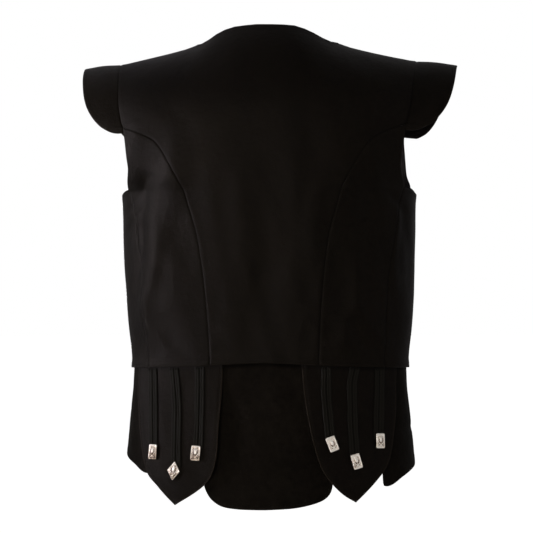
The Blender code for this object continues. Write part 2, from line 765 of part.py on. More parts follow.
def make_button(name, shape, seat, normal, lean):
    """Domed button with a raised rim, flat at the back, its seat the middle of that back."""
    up = (Vector((0, 0, 1)) - normal * normal.z).normalized()
    right = up.cross(normal).normalized()
    tilt = math.radians(lean)
    across = right * math.cos(tilt) + up * math.sin(tilt)
    along = up * math.cos(tilt) - right * math.sin(tilt)
    corners = button_corners(shape)
    points = []
    half_width = max(corner[0] for corner in corners)
    half_length = max(corner[1] for corner in corners)
    for ring in BUTTON_RINGS:
        scale_x = 1 - ring.inset / half_width
        scale_y = 1 - ring.inset / half_length
        for spot in rounded_outline(corners, BUTTON_CORNER):
            points.append(seat + across * spot.x * scale_x + along * spot.y * scale_y + normal * ring.rise)
    count = len(corners) * CORNER_STEPS
    faces = [list(range(count))[::-1]]
    for k in range(len(BUTTON_RINGS) - 1):
        for j in range(count):
            a, b = k * count + j, k * count + (j + 1) % count
            faces.append([a, b, b + count, a + count])
    crown = len(points)
    points.append(seat + normal * BUTTON_CROWN)
    last = (len(BUTTON_RINGS) - 1) * count
    for j in range(count):
        faces.append([last + j, last + (j + 1) % count, crown])
    make_object(name, points, faces, "silver")


def make_tash_buttons(label, side):
    """The three silver buttons at the braids' lower ends."""
    for button in TASH_BUTTONS[label]:
        turn = turn_of(button.x, button.height)
        seat = tash_point(button.x, button.height, BUTTON_OVER_BRAID, side)
        normal = form_normal(turn, button.height, side)
        make_button("button_" + label + "_" + button.name, button.shape, seat, normal, button.lean)


def make_front_buttons():
    """Oblong buttons down the centre front, sewn on the upper front."""
    for k in range(FRONT_BUTTONS):
        height = FRONT_BUTTON_TOP + (FRONT_BUTTON_FOOT - FRONT_BUTTON_TOP) * k / (FRONT_BUTTONS - 1)
        seat = form_point(math.pi, height, FRONT_BUTTON_LIFT)
        normal = form_normal(math.pi, height)
        make_button("button_front_" + str(k + 1), "oblong", seat, normal, 0.0)


def clear_scene():
    """Removes whatever the scene holds."""
    for old in list(bpy.data.objects):
        bpy.data.objects.remove(old)


def main():
    clear_scene()
    make_back_centre()
    make_back_skirt()
    for label, side in (("left", 1), ("right", -1)):
        make_back_side(label, side)
        make_front(label, side, right_lap_lift if side < 0 else None)
        make_wing(label, side)
        make_side_skirt(label, side)
        make_tash(label, side)
        for braid in BRAIDS[label]:
            make_braid(braid, label, side)
        make_tash_buttons(label, side)
    make_front_buttons()


main()
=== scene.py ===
"""Looks of the jacobean waistcoat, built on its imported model.

Lengths in the tables are millimetres and turns are degrees; MM makes metres of millimetres.
The camera, the lamps and the floor are in metres. The front faces -Y and the wearer's left is +X.
A place on the body form is a turn round the body, 0 at the centre back and 180 at the centre
front, and a height. Above CAP_BASE the height is measured round the shoulder cap, and it is 0 on
the shoulder seam.
"""
import math
from collections import namedtuple

import bpy
import numpy as np
from mathutils import Matrix, Vector
from mathutils.bvhtree import BVHTree


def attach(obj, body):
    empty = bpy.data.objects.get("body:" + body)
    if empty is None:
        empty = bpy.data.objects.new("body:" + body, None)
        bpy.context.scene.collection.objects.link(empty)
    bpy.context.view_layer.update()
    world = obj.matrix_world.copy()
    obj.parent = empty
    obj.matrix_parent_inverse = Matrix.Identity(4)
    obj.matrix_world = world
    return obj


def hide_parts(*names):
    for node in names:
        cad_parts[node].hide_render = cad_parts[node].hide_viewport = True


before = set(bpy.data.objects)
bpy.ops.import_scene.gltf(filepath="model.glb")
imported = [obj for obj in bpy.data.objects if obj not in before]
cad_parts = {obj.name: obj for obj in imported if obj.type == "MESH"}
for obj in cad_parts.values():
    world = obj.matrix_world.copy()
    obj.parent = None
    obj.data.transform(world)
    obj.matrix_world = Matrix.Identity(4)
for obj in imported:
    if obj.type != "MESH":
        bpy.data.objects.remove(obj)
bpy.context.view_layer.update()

bl_info = {
    "name": "Jacobean Waistcoat",
    "version": (1, 0, 0),
    "blender": (4, 5, 0),
    "location": "View3D > Sidebar > Waistcoat",
    "description": "Builds the cloth, braids, buttons and sewing of a jacobean waistcoat",
    "category": "Add Mesh",
}

MM = 0.001

# Cloth and layers; a lift is a distance out from the body form
CLOTH = 2.0
WING_CLOTH = 2.6
TASH_CLOTH = 1.8
LAYER_GAP = 0.6
TUCK = 8.0
SKIRT_LIFT = -3.1
TASH_LIFT_AT_SEAM = -0.7

# Body form
SQUARENESS = 2.3
CAP_BASE = -110.0
CAP_REACH = 110.0
CAP_STRETCH = 1.43
MEAN_RADIUS = 150.0
SMALL_STEP = 0.01
SMALL_RISE = 2.0
CHART_HEIGHT = -300.0
CHART_END = 1.1 * math.pi
CHART_POINTS = 200

Section = namedtuple("Section", "height half_width back_depth front_depth")
SECTIONS = [
    Section(-620, 199.0, 127.0, 136.0), Section(-560, 195.0, 118.0, 134.0),
    Section(-500, 190.0, 109.0, 131.0), Section(-440, 184.5, 102.0, 129.0),
    Section(-420, 184.0, 100.0, 128.0), Section(-360, 189.0, 102.5, 131.0),
    Section(-280, 193.2, 111.0, 135.0), Section(-200, 195.3, 119.0, 134.0),
    Section(-180, 205.0, 121.0, 131.0), Section(-150, 222.0, 122.0, 124.0),
    Section(-110, 236.0, 122.0, 112.0),
]
Shoulder = namedtuple("Shoulder", "x height")
SHOULDER_LINE = [
    Shoulder(0, 50), Shoulder(38, 40), Shoulder(52, 32), Shoulder(67, 20.5), Shoulder(80, 9.5),
    Shoulder(96, 0.5), Shoulder(125, -8), Shoulder(158, -15.5), Shoulder(197, -23.5), Shoulder(240, -30),
]
Waist = namedtuple("Waist", "turn height")
WAIST_SEAM = [
    Waist(0, -416.0), Waist(20, -419.5), Waist(35, -421.5), Waist(65, -424.5),
    Waist(90, -427.0), Waist(130, -431.0), Waist(180, -436.0), Waist(190, -436.0),
]
# The long soft folds that the worn back keeps
Fold = namedtuple("Fold", "x low high half_width depth")
BACK_FOLDS = [
    Fold(-6, -400, -120, 17, -2.2), Fold(28, -330, -130, 15, 1.5), Fold(-38, -360, -150, 18, 1.3),
    Fold(118, -390, -230, 14, 1.6), Fold(-122, -380, -250, 15, 1.4),
]
FOLD_FADE = 60.0

# Seams and edges of the wearer's left half: distance from the centre plane and height
Spot = namedtuple("Spot", "x height")
NECK_X = 93.0
BACK_NECK = [
    Spot(93, 0), Spot(91, -15), Spot(86, -23.5), Spot(78, -27), Spot(70, -29.5), Spot(55, -34.5),
    Spot(35, -38.5), Spot(0, -43.3),
]
PRINCESS_SEAM = [
    Spot(69.8, None), Spot(72.5, -361), Spot(76.4, -312), Spot(83.7, -256), Spot(97.4, -204.5),
    Spot(117.7, -161.5), Spot(138, -132.5), Spot(160, -120.5), Spot(182, -113),
]
SIDE_SEAM = [Spot(153.4, None), Spot(158, -322), Spot(166, -256), Spot(179, -192)]
ARMHOLE_ABOVE_NOTCH = [Spot(182, -113), Spot(190, -85), Spot(192.5, -59), Spot(195.5, -25), Spot(197, 0)]
ARMHOLE_BELOW_NOTCH = [
    Spot(182, -113), Spot(179, -131), Spot(175.5, -160), Spot(176, -174), Spot(179, -192),
]
FRONT_ARMHOLE = [
    Spot(188, -188), Spot(182.5, -170), Spot(180.5, -145), Spot(181, -110), Spot(185, -70),
    Spot(191.5, -32), Spot(197, 0),
]
UNDERARM_TURN = 90.0
UNDERARM_HEIGHT = -199.0
CHEST_LINE_HEIGHT = -222.0
CHEST_TURN_SHIFT = 6.0
NECK_V = [Spot(-11, -246), Spot(24, -178), Spot(58, -96), Spot(81, -38), Spot(93, 0)]
FRONT_LAP = 12.0
CLOSE_SET_LIFT = -CLOTH - LAYER_GAP
LAP_FADE = (36.0, 80.0)
SKIRT_FADE = (100.0, 150.0)

# Grids: lines close together at an edge, the step between them elsewhere, and the cells that a
# dense path has for each unit of its length
FINE_STEPS = (0.0, 0.4, 0.9, 1.5, 2.3, 3.3, 4.6, 6.2, 8.2)
MIDDLE_STEP = 3.6
LEAST_STEP = 0.2
SUB = 8
PATH_FINENESS = 12

# Wings
WING_REACH = {"left": 47.5, "right": 52.5}
WING_DROP = 97.0
WING_ROUNDNESS = 2.3
WING_DROOP = 0.11
WING_PUFF = 1.9
WING_TOP = -23.5
WING_BACK_END = Spot(181, -120)
WING_FRONT_END = -119.0
WING_WAVE = 0.6
WING_WAVE_PITCH = 12.0
WING_WAVE_REACH = (0.15, 0.7)
WING_LINES = 121
WING_LINE_CROWD = 0.54
WING_MIDDLE_LINES = 9
WING_INSET = 5.5
WING_SEAM_SHADE = 0.45
# The wing starts inside the armhole's edge and under the bodice, as its seam allowance does
WING_UNDER_EDGE = 2.6
WING_TUCK = 0.7
WING_TUCK_REACH = 4.6
WING_END = 0.6

# Skirts
BACK_SKIRT_X = 85.0
BACK_SKIRT_HEM = {
    "left": [
        Spot(78, -556), Spot(77, -570), Spot(73, -580), Spot(65, -589.5), Spot(50, -597),
        Spot(27, -599.5), Spot(0, -600),
    ],
    "right": [
        Spot(88.5, -556), Spot(88, -570), Spot(85.5, -579), Spot(78, -587), Spot(61, -593.5),
        Spot(36, -598), Spot(0, -600),
    ],
}
FLAP_BACK_X = 150.0
FLAP_CORNER = [Spot(151, -552), Spot(152, -566), Spot(157.5, -568), Spot(178, -557.5)]
Hem = namedtuple("Hem", "turn height")
FLAP_HEM = [Hem(90, -546), Hem(120, -532), Hem(150, -516), Hem(168, -508)]
FLAP_FRONT = [Spot(30, -504), Spot(22, -501), Spot(17, -493)]
FLAP_RISE = {"left": 9.0, "right": -6.5}
FLAP_RISE_FADE = (95.0, 150.0)
FLAP_FRONT_TOP_X = 6.0

# Tashes
TASH_INNER = {
    "left": [Spot(53, None), Spot(53.5, -452), Spot(56, -491), Spot(58, -530), Spot(61.5, -549)],
    "right": [Spot(48, None), Spot(51.5, -458), Spot(55.5, -484), Spot(62.5, -517), Spot(68, -537)],
}
TASH_OUTER = {
    "left": [Spot(171, None), Spot(169.5, -455), Spot(166, -482), Spot(160, -521), Spot(156.5, -541)],
    "right": [Spot(168.5, None), Spot(167, -462), Spot(163, -501), Spot(159, -527), Spot(156.5, -539)],
}
TASH_INNER_FOOT = {
    "left": [Spot(61.5, -549), Spot(66, -560), Spot(73, -569), Spot(88, -581), Spot(112, -596.5)],
    "right": [Spot(68, -537), Spot(74, -551.5), Spot(87, -569.5), Spot(101, -583), Spot(115, -592)],
}
TASH_OUTER_FOOT = {
    "left": [Spot(112, -596.5), Spot(126, -584), Spot(137, -573), Spot(149.5, -560), Spot(156.5, -541)],
    "right": [Spot(115, -592), Spot(127.5, -580), Spot(142.5, -564), Spot(151.5, -552), Spot(156.5, -539)],
}
TASH_STAND_OFF = 4.3
TASH_STAND_OFF_FALL = 110.0
TASH_INNER_CURL = 2.6
TASH_CURL_FADE = (50.0, 85.0)
TASH_CURL_FALL = (10.0, 70.0)
TASH_INSET = 2.8

# Braids and buttons
Braid = namedtuple("Braid", "name spots")
Button = namedtuple("Button", "name shape x height lean")
BRAIDS = {
    "left": [
        Braid("inner", [Spot(83, None), Spot(82.2, -463), Spot(81.8, -495), Spot(82.5, -527)]),
        Braid("middle", [Spot(118, None), Spot(114.5, -451), Spot(112, -479), Spot(110.5, -549)]),
        Braid("outer", [Spot(147.5, None), Spot(145, -465), Spot(142, -517), Spot(141.5, -528)]),
    ],
    "right": [
        Braid("inner", [Spot(79.5, None), Spot(79, -450), Spot(81, -482), Spot(84, -516)]),
        Braid("middle", [Spot(115.5, None), Spot(111.5, -446), Spot(111.5, -485), Spot(114, -537)]),
        Braid("outer", [Spot(147, None), Spot(145.5, -458), Spot(144, -480), Spot(142.5, -514)]),
    ],
}
TASH_BUTTONS = {
    "left": [
        Button("inner", "oblong", 85, -530.5, -3), Button("middle", "diamond", 112.5, -553.5, -5),
        Button("outer", "oblong", 141, -531, 0),
    ],
    "right": [
        Button("inner", "oblong", 85.5, -518.5, 20), Button("middle", "oblong", 115, -541, 14),
        Button("outer", "oblong", 143.5, -516.5, -3),
    ],
}
BRAID_WIDTH = 13.0
BRAID_UNDER_SEAM = 0.8
BRAID_SEAM_FADE = 4.0
# Height of the braid's ribs, by the share of its half width
Rib = namedtuple("Rib", "share rise")
BRAID_HALF_RIBS = [
    Rib(0.0, 0.5), Rib(0.1, 1.4), Rib(0.29, 2.0), Rib(0.5, 1.6), Rib(0.72, 2.0), Rib(0.93, 1.6),
    Rib(1.0, 0.2),
]
BRAID_WALL = 0.5
BRAID_STEP = 0.42
BRAID_LINES = 33
BRAID_SUNK_SHARE = 0.75
BRAID_WAVER = 0.03
BRAID_WAVER_PITCH = 7.0
# Rib height at which the painted light on the braid is full
BRAID_BRIGHT_RISE = 2.1
PLAIT_PITCH = 1.7
PLAIT_RISE = 0.16
PLAIT_SLANT = 3.4
PLAIT_REACH = (0.3, 1.0)
PLAIT_SHADE = 0.4
BUTTON_LIFT = 2.5
BUTTON_SIZE = {"oblong": (12.2, 18.8), "diamond": (17.8, 24.6)}
BUTTON_CORNER = {"oblong": 1.6, "diamond": 0.9}
# Painted reflection and shade on each tash button: whiter at the right, darker at the left
BUTTON_PAINTED_REFLECTION = {
    "left_outer": -0.07, "left_middle": 0.04, "left_inner": -0.08,
    "right_inner": 0.46, "right_middle": 0.40, "right_outer": 0.24,
}
FRONT_BUTTON_POLISH = (0.10, -0.04, 0.04, -0.10, 0.02)
# Height of a button's face, and rings of its back and side: size of the outline, height and tone, the low
# tones being painted shade
BUTTON_FACE = 1.55
BUTTON_BACK = ((0.0, 0.0, 0.1), (0.94, 0.0, 0.1), (0.99, 0.25, 0.3), (1.0, 0.9, 0.5), (0.995, 1.35, 0.6))
BUTTON_RINGS = 30
BUTTON_RING_CROWD = 1.15
BUTTON_POINTS = 120
BUTTON_CORNER_STEPS = 8
FRONT_BUTTONS = 5
FRONT_BUTTON_TOP = -262.0
FRONT_BUTTON_FOOT = -418.0
FRONT_BUTTON_LIFT = 0.9
# Relief of a button: a thistle in leaves, by the strokes of its right half
Stroke = namedtuple("Stroke", "x0 y0 x1 y1 width rise")
THISTLE = [
    Stroke(0.0, 0.3, 0.0, 2.2, 2.1, 0.75), Stroke(0.0, 3.6, 0.0, 6.3, 0.55, 0.55),
    Stroke(0.7, 3.4, 1.7, 5.9, 0.5, 0.5), Stroke(1.3, 3.0, 3.1, 4.9, 0.5, 0.45),
    Stroke(0.0, -1.6, 0.0, -6.6, 0.5, 0.5), Stroke(0.2, -5.2, 2.6, -2.9, 0.85, 0.5),
    Stroke(2.6, -2.9, 3.6, -0.6, 0.6, 0.45), Stroke(1.9, -3.6, 3.7, -4.3, 0.5, 0.4),
    Stroke(0.3, -6.0, 2.9, -6.4, 0.6, 0.4), Stroke(3.6, 1.6, 3.9, 3.2, 0.45, 0.3),
]
STROKE_EDGE = (0.35, 1.1)
STROKE_FOOT = 1.2
STROKE_FOOT_WIDTH = 0.42
# The crown, the roped rim with its groove inside, and the hatched head of the thistle
CROWN_RISE = 0.55
CROWN_REACH = (0.8, 5.0)
ROPE_RISE = 0.4
ROPE_PLACE = 0.75
ROPE_WIDTH = 0.4
ROPE_PITCH = 1.5
ROPE_SLANT = 0.9
GROOVE_DEPTH = 0.35
GROOVE_PLACE = 1.5
GROOVE_WIDTH = 0.3
RIM_ROUND = 0.35
RIM_ROUND_WIDTH = 0.3
FIGURE_INSIDE = (1.2, 1.9)
FIGURE_CLEAR = (0.1, 0.3)
HATCH_RISE = 0.12
HATCH_TURN = 4.2
HATCH_HEIGHT = 1.2
HATCH_REACH = 1.6
# Brightness of the silver: of its ground, more on high places, less in hollows, and painted shade low on
# the face
SILVER_GROUND = 0.90
SILVER_ON_FIGURE = 0.45
SILVER_ON_ROPE = 0.25
SILVER_IN_HOLLOW = 0.85
SILVER_PAINTED_SHADE_LOW = 0.30
SILVER_PAINTED_SHADE_REACH = (2.0, -4.5)
# A patch of tarnish under the head of the thistle
Patch = namedtuple("Patch", "x y width height depth")
SOOT = Patch(-0.8, -2.6, 2.3, 2.2, 0.5)

# Buttonholes of the front, worked round a slit: a ring of thread with a knot at every other turn
HOLE_LENGTH = 19.0
HOLE_WIDTH = 3.0
HOLE_PLACE = -1.5
HOLE_THREAD = 0.55
HOLE_THREAD_SIDES = 6
HOLE_TURNS = 72
HOLE_KNOT = 0.22
HOLE_SEED_LIFT = 0.5
HOLE_RISE = 0.1
HOLE_END_BLUNTNESS = 0.45
HOLE_SIDE_BLUNTNESS = 0.8
HOLE_SIDE_WEIGHT = 4

# Sewing: how a seam and a turned edge shape the cloth beside them
SEAM_DIP = 0.55
SEAM_WIDTH = 1.1
SEAM_RIDGE = 0.16
SEAM_RIDGE_AT = 4.5
SEAM_RIDGE_WIDTH = 3.0
SEAM_PUCKER = 0.16
PUCKER_PITCH = 17.0
PUCKER_REACH = 10.0
PUCKER_DRIFT = 5.0
PUCKER_DRIFT_LENGTH = 31.0
# Strength of the painted shade along a seam
SEAM_PAINTED_SHADE = 0.6
TURN_RISE = 0.4
TURN_REACH = (6.0, 10.0)
STITCH_TROUGH = 0.35
STITCH_TROUGH_WIDTH = 1.1
EDGE_ROUND = 1.1
RIM_SHARE = 0.35
# A turned edge is lighter along its rim: rubbing, with a painted highlight
RIM_WEAR_HIGHLIGHT_REACH = 1.6
SMOOTH_ANGLE = 50.0
BUTTON_SMOOTH_ANGLE = 60.0
MERGE_DISTANCE = 0.02
EDGE_INSET = 5.2
HEM_INSET = 4.0
# The bodice's lower edge stands proud of the skirts, which lie in its shadow, and painted shade darkens
# them under it
BODICE_EDGE_RISE = 0.5
BODICE_EDGE_REACH = (2.0, 13.0)
WAIST_SHADE = (1.0, 4.5)

# Soft ridges, and troughs with a depth below 0, placed one by one. A lean is from upright, towards the
# wearer's left at the top. Each one wanders a little and fades out towards its ends
CREASE_FADE = (0.35, 0.62)
CREASE_WANDER = 0.04
CREASE_WANDER_TURN = 4
Crease = namedtuple("Crease", "x height length lean half_width depth")
CREASES = {
    "bodice_back": [
        Crease(54, -255, 190, 4, 12, 1.3), Crease(-66, -290, 200, -5, 12, 1.0),
        Crease(12, -345, 110, -6, 10, -0.9), Crease(-24, -225, 150, 3, 9, -0.9),
        Crease(-48, -210, 170, -16, 12, -0.9), Crease(40, -165, 120, 7, 10, 0.7),
        Crease(128, -92, 70, 58, 8, -0.9), Crease(-132, -88, 66, -60, 9, -0.8),
        Crease(95, -58, 60, 66, 9, 0.7), Crease(-100, -60, 64, -64, 9, 0.7),
        Crease(40, -385, 60, 24, 8, 0.7), Crease(-46, -382, 52, -22, 8, 0.7),
        Crease(20, -62, 70, 80, 10, -0.5), Crease(148, -60, 60, 22, 8, -0.6),
        Crease(-156, -62, 60, -18, 8, -0.6),
        Crease(116, -150, 90, -14, 9, 1.2), Crease(131, -262, 230, -9, 19, 4.4),
        Crease(137, -222, 110, -9, 8, 2.0), Crease(145, -300, 120, -9, 9, 2.1),
        Crease(154, -372, 90, -4, 8, 1.8), Crease(168, -148, 80, -5, 14, 2.6),
        Crease(159, -212, 80, -10, 6.5, -2.0), Crease(164, -284, 100, -3, 7, -1.7),
        Crease(168, -207, 46, -42, 4.5, -1.8), Crease(158, -186, 36, -50, 4.5, -1.5),
        Crease(174, -236, 44, -36, 5, -1.6), Crease(152, -236, 60, -30, 5, -0.7),
        Crease(122, -335, 120, 5, 9, -0.4), Crease(140, -388, 60, 30, 7, 1.0),
        Crease(112, -396, 44, 60, 6, -0.9),
        Crease(-148, -200, 140, 5, 10, 1.6), Crease(-112, -330, 150, -8, 10, 1.5),
        Crease(-168, -210, 50, 40, 5, -1.7), Crease(-180, -262, 120, 4, 6, -1.6),
        Crease(-170, -262, 140, 3, 5, 1.4), Crease(-132, -262, 140, 4, 9, -1.3),
        Crease(-134, -365, 70, 28, 6, 1.5), Crease(-120, -382, 54, 36, 5, -1.4),
        Crease(-150, -350, 60, 22, 6, -1.1), Crease(-160, -330, 120, 3, 8, -1.1),
    ],
    "bodice_front": [
        Crease(150, -222, 70, 40, 7, -1.4), Crease(168, -208, 46, 50, 5, -1.1),
        Crease(120, -250, 90, 30, 9, -0.9), Crease(70, -330, 150, 6, 14, 1.2),
        Crease(110, -360, 130, -5, 12, -1.0), Crease(36, -300, 44, 82, 7, -0.8),
        Crease(34, -378, 50, 96, 8, -0.8), Crease(120, -120, 80, -24, 11, 1.0),
        Crease(178, -330, 150, 2, 10, 1.0), Crease(60, -405, 60, 66, 8, -0.7),
        Crease(-148, -226, 66, -42, 7, -1.3), Crease(-118, -246, 84, -32, 9, -0.9),
        Crease(-76, -320, 160, -5, 14, 1.1), Crease(-116, -352, 120, 6, 11, -1.0),
        Crease(-44, -340, 46, -78, 7, -0.8), Crease(-124, -124, 78, 22, 11, 1.0),
        Crease(-178, -320, 150, -2, 10, 1.0), Crease(-64, -402, 56, -62, 8, -0.7),
    ],
    "skirt_back": [
        Crease(-18, -510, 120, 10, 14, 1.1), Crease(34, -525, 110, -8, 12, -1.0),
        Crease(-52, -545, 80, 16, 10, 0.7), Crease(6, -575, 60, 70, 9, 0.5),
    ],
    "skirt_side_left": [
        Crease(176, -505, 90, 4, 8, 1.2), Crease(110, -485, 80, -6, 12, 1.1),
        Crease(60, -475, 70, 5, 11, -1.0),
    ],
    "skirt_side_right": [
        Crease(-176, -503, 40, 84, 5, -1.1), Crease(-170, -540, 60, 10, 9, 0.9),
        Crease(-112, -485, 80, 6, 12, 1.1), Crease(-62, -472, 70, -4, 11, -1.0),
    ],
    "tash_left": [Crease(100, -485, 90, 5, 7, -0.5), Crease(134, -505, 90, -4, 6, 0.4)],
    "tash_right": [Crease(-98, -480, 90, -6, 7, -0.5), Crease(-130, -495, 90, 4, 6, 0.4)],
}
BODICE = ("back_centre", "back_side_left", "back_side_right", "front_left", "front_right")
SIDE_BLEND = 14.0
WAIST_FADE = (5.0, 42.0)
# Slow unevenness of the whole cloth: waves with their lengths round and up the body, and their depth
Wave = namedtuple("Wave", "across up depth phase")
CLOTH_WAVES = [
    Wave(97, 260, 0.30, 0.4), Wave(61, -190, 0.22, 1.9), Wave(-43, 88, 0.12, 3.1),
    Wave(29, 71, 0.07, 5.2), Wave(-33, 47, 0.06, 2.2),
]

Stitch = namedtuple("Stitch", "length width pitch height")
EDGE_STITCH = Stitch(2.3, 0.55, 3.1, 0.5)
STITCH_SIDES = 6
STITCH_RINGS = 4
STITCH_REACH = 2.2
STITCH_BLUNTNESS = 0.6
STITCH_RISE = 0.08
STITCH_ROW_BREAK = 12.0
STITCH_ROW_LEAST = 4
STITCH_CLEAR_SHARE = 0.9

# Looks of the one cloth on each part: its tint, gloss and sheen are set for the light that falls there, the
# tint as painted light and shade; its edges are rubbed and carry a painted rim highlight
ClothLook = namedtuple("ClothLook", "name tint gloss sheen wear")
CLOTH_LOOKS = {
    "bodice": ClothLook("black barathea", (1.15, 1.15, 1.15), 0.063, 1.0, 0.1),
    "skirt": ClothLook("black barathea, nap down", (2.1, 2.25, 2.6), 0.02, 0.1, 0.15),
    "wing_left": ClothLook("black barathea, nap up", (1.5, 1.5, 1.5), 0.12, 1.0, 0.1),
    "wing_right": ClothLook("black barathea, nap forward", (1.1, 1.1, 1.1), 0.06, 1.0, 0.1),
    "tash": ClothLook("pressed black barathea", (1.1, 1.1, 1.1), 0.058, 1.0, 0.7),
}
# Fine scratches and tarnish scatter light, so the old silver is only partly a mirror
SILVER_METALLIC = 0.25

# The photograph's camera and the studio
CAMERA_PLACE = (-0.1805, 2.2929, -0.293)
CAMERA_AIM = (0.004, 0.0, -0.293)
CAMERA_LENS = 116.8
CAMERA_SENSOR = 36.0
CAMERA_ROLL = -0.3
CAMERA_SIGHT = 100
FLOOR_HEIGHT = -1.6
FLOOR_SIZE = 60.0
FLOOR_TONES = (0.90, 0.94)
FLOOR_ROUGHNESS = 0.9
ROOM_COLOUR = (1.0, 0.97, 0.94, 1.0)
Lamp = namedtuple("Lamp", "name place aim size spread power colour")
LAMPS = [
    Lamp("key", (2.15, 0.60, -0.1), (0.0, 0.0, -0.13), 0.8, 34.0, 3.2, (0.92, 0.90, 1.0)),
    Lamp("fill", (0.62, 2.34, -0.34), (0.0, 0.0, -0.3), 0.9, 180.0, 18.2, (1.0, 0.96, 0.86)),
    Lamp("right", (-1.7, 1.3, 0.1), (0.0, 0.0, -0.3), 1.2, 180.0, 4.6, (0.97, 0.95, 1.0)),
    Lamp("front", (0.4, -2.4, -0.15), (0.0, 0.0, -0.3), 0.9, 180.0, 75.0, (1.0, 0.98, 0.96)),
]


# Body form

def smooth_values(places, values, at):
    """Smooth curve through values that stand at rising places, with no overshoot."""
    places, values = np.asarray(places, float), np.asarray(values, float)
    at = np.clip(at, places[0], places[-1])
    steps = np.diff(values) / np.diff(places)
    before, after = steps[:-1], steps[1:]
    same_way = before * after > 0
    slopes = np.empty_like(values)
    slopes[0], slopes[-1] = steps[0], steps[-1]
    slopes[1:-1] = np.where(same_way, 2 * before * after / np.where(same_way, before + after, 1), 0)
    k = np.clip(np.searchsorted(places, at, side="left") - 1, 0, len(places) - 2)
    span = places[k + 1] - places[k]
    s = (at - places[k]) / span
    rise = values[k] * (1 + 2 * s) * (1 - s) ** 2 + values[k + 1] * s * s * (3 - 2 * s)
    return rise + span * (slopes[k] * s * (1 - s) ** 2 + slopes[k + 1] * s * s * (s - 1))


def smooth_step(low, high, value):
    """Runs softly from 0 at low to 1 at high."""
    s = np.clip((np.asarray(value, float) - low) / (high - low), 0.0, 1.0)
    return s * s * (3 - 2 * s)


def bump(value, middle, half_width):
    """A soft bell of height 1 round a middle."""
    return np.exp(-((value - middle) / half_width) ** 2)


def column(rows, name):
    """One named column of a table."""
    return [getattr(row, name) for row in rows]


def section_at(height, name):
    """A size of the body form at a height."""
    return smooth_values(column(SECTIONS, "height"), column(SECTIONS, name), np.minimum(height, CAP_BASE))


def waist_height(turn):
    """Height of the waist seam at a turn."""
    return smooth_values(np.radians(column(WAIST_SEAM, "turn")), column(WAIST_SEAM, "height"), np.abs(turn))


def signed_power(value, exponent):
    """Power of numbers that keeps their signs."""
    return np.sign(value) * np.abs(value) ** exponent


def turn_of(x, height, front=False):
    """Turn of the form's point at a distance from the centre plane."""
    share = np.minimum(np.abs(x) / section_at(height, "half_width"), 1.0)
    turn = np.sign(x) * np.arcsin(share ** (SQUARENESS / 2))
    return math.pi - turn if front else turn


def form_x(turn, height):
    """Distance of a place from the centre plane, below 0 past the centre front."""
    return section_at(height, "half_width") * signed_power(np.sin(turn), 2 / SQUARENESS)


def bare_form(turn, height):
    """Points of the body form without its folds."""
    x = form_x(turn, height)
    depth = np.where(np.cos(turn) >= 0, section_at(height, "back_depth"), section_at(height, "front_depth"))
    y = depth * signed_power(np.cos(turn), 2 / SQUARENESS)
    arc = np.maximum(height - CAP_BASE, 0) / CAP_REACH * math.pi / 2
    top = smooth_values(column(SHOULDER_LINE, "x"), column(SHOULDER_LINE, "height"), np.abs(x))
    z = np.where(height > CAP_BASE, CAP_BASE + (top - CAP_BASE) * np.sin(arc), height)
    return np.stack([x, y * np.cos(arc), z], axis=-1)


def unit(vectors):
    """Vectors at length 1."""
    return vectors / np.maximum(np.linalg.norm(vectors, axis=-1, keepdims=True), 1e-12)


def form_normals(turn, height, side=1):
    """Outward normals of the body form."""
    across = bare_form(turn + SMALL_STEP, height) - bare_form(turn - SMALL_STEP, height)
    up = bare_form(turn, height + SMALL_RISE) - bare_form(turn, height - SMALL_RISE)
    return unit(np.cross(up, across)) * (side, 1, 1)


def fold_lift(x, height):
    """How far the soft folds of the back lift the cloth."""
    lift = np.zeros_like(x)
    for fold in BACK_FOLDS:
        along = smooth_step(fold.low, fold.low + FOLD_FADE, height)
        along = along * (1 - smooth_step(fold.high - FOLD_FADE, fold.high, height))
        lift += fold.depth * along * bump(x, fold.x, fold.half_width)
    return lift


def form_points(turn, height, lift=0.0, side=1):
    """Points of the body form, with side -1 for the wearer's right half."""
    turn, height = np.asarray(turn, float), np.asarray(height, float)
    place = bare_form(turn, height) * (side, 1, 1)
    lift = lift + np.where(np.cos(turn) > 0, fold_lift(place[..., 0], height), 0.0)
    return place + form_normals(turn, height, side) * np.asarray(lift)[..., None]


def place_distance(a, b):
    """Rough distance between places, in millimetres."""
    return np.hypot((b[..., 0] - a[..., 0]) * MEAN_RADIUS, b[..., 1] - a[..., 1])


def runs(line):
    """Length run at each point of a line of places."""
    return np.concatenate([[0.0], np.cumsum(place_distance(line[:-1], line[1:]))])


def length_run(line):
    """Length run at each point of a line of points."""
    return np.concatenate([[0.0], np.cumsum(np.linalg.norm(np.diff(line, axis=0), axis=1))])


def points_at(goal, run, line):
    """Points of a line at given lengths of its run."""
    return np.stack([np.interp(goal, run, line[:, c]) for c in range(line.shape[1])], axis=-1)


def path(places, cells):
    """Smooth path through places, cut into cells of equal length."""
    places = np.array(places, float)
    steps = runs(places)
    fine = np.linspace(0, steps[-1], PATH_FINENESS * cells + 1)
    line = np.stack([smooth_values(steps, places[:, c], fine) for c in (0, 1)], axis=1)
    run = runs(line)
    return points_at(np.linspace(0, run[-1], cells + 1), run, line)


def spot_place(spot, front=False):
    """Turn and height of a spot; a spot with no height lies on the waist seam."""
    if spot.height is not None:
        return (float(turn_of(spot.x, spot.height, front)), spot.height)
    turn = turn_of(spot.x, WAIST_SEAM[0].height, front)
    turn = float(turn_of(spot.x, waist_height(turn), front))
    return (turn, float(waist_height(turn)))


def spots_path(spots, cells, front=False):
    """Path through spots given by their distance from the centre plane."""
    return path([spot_place(spot, front) for spot in spots], cells)


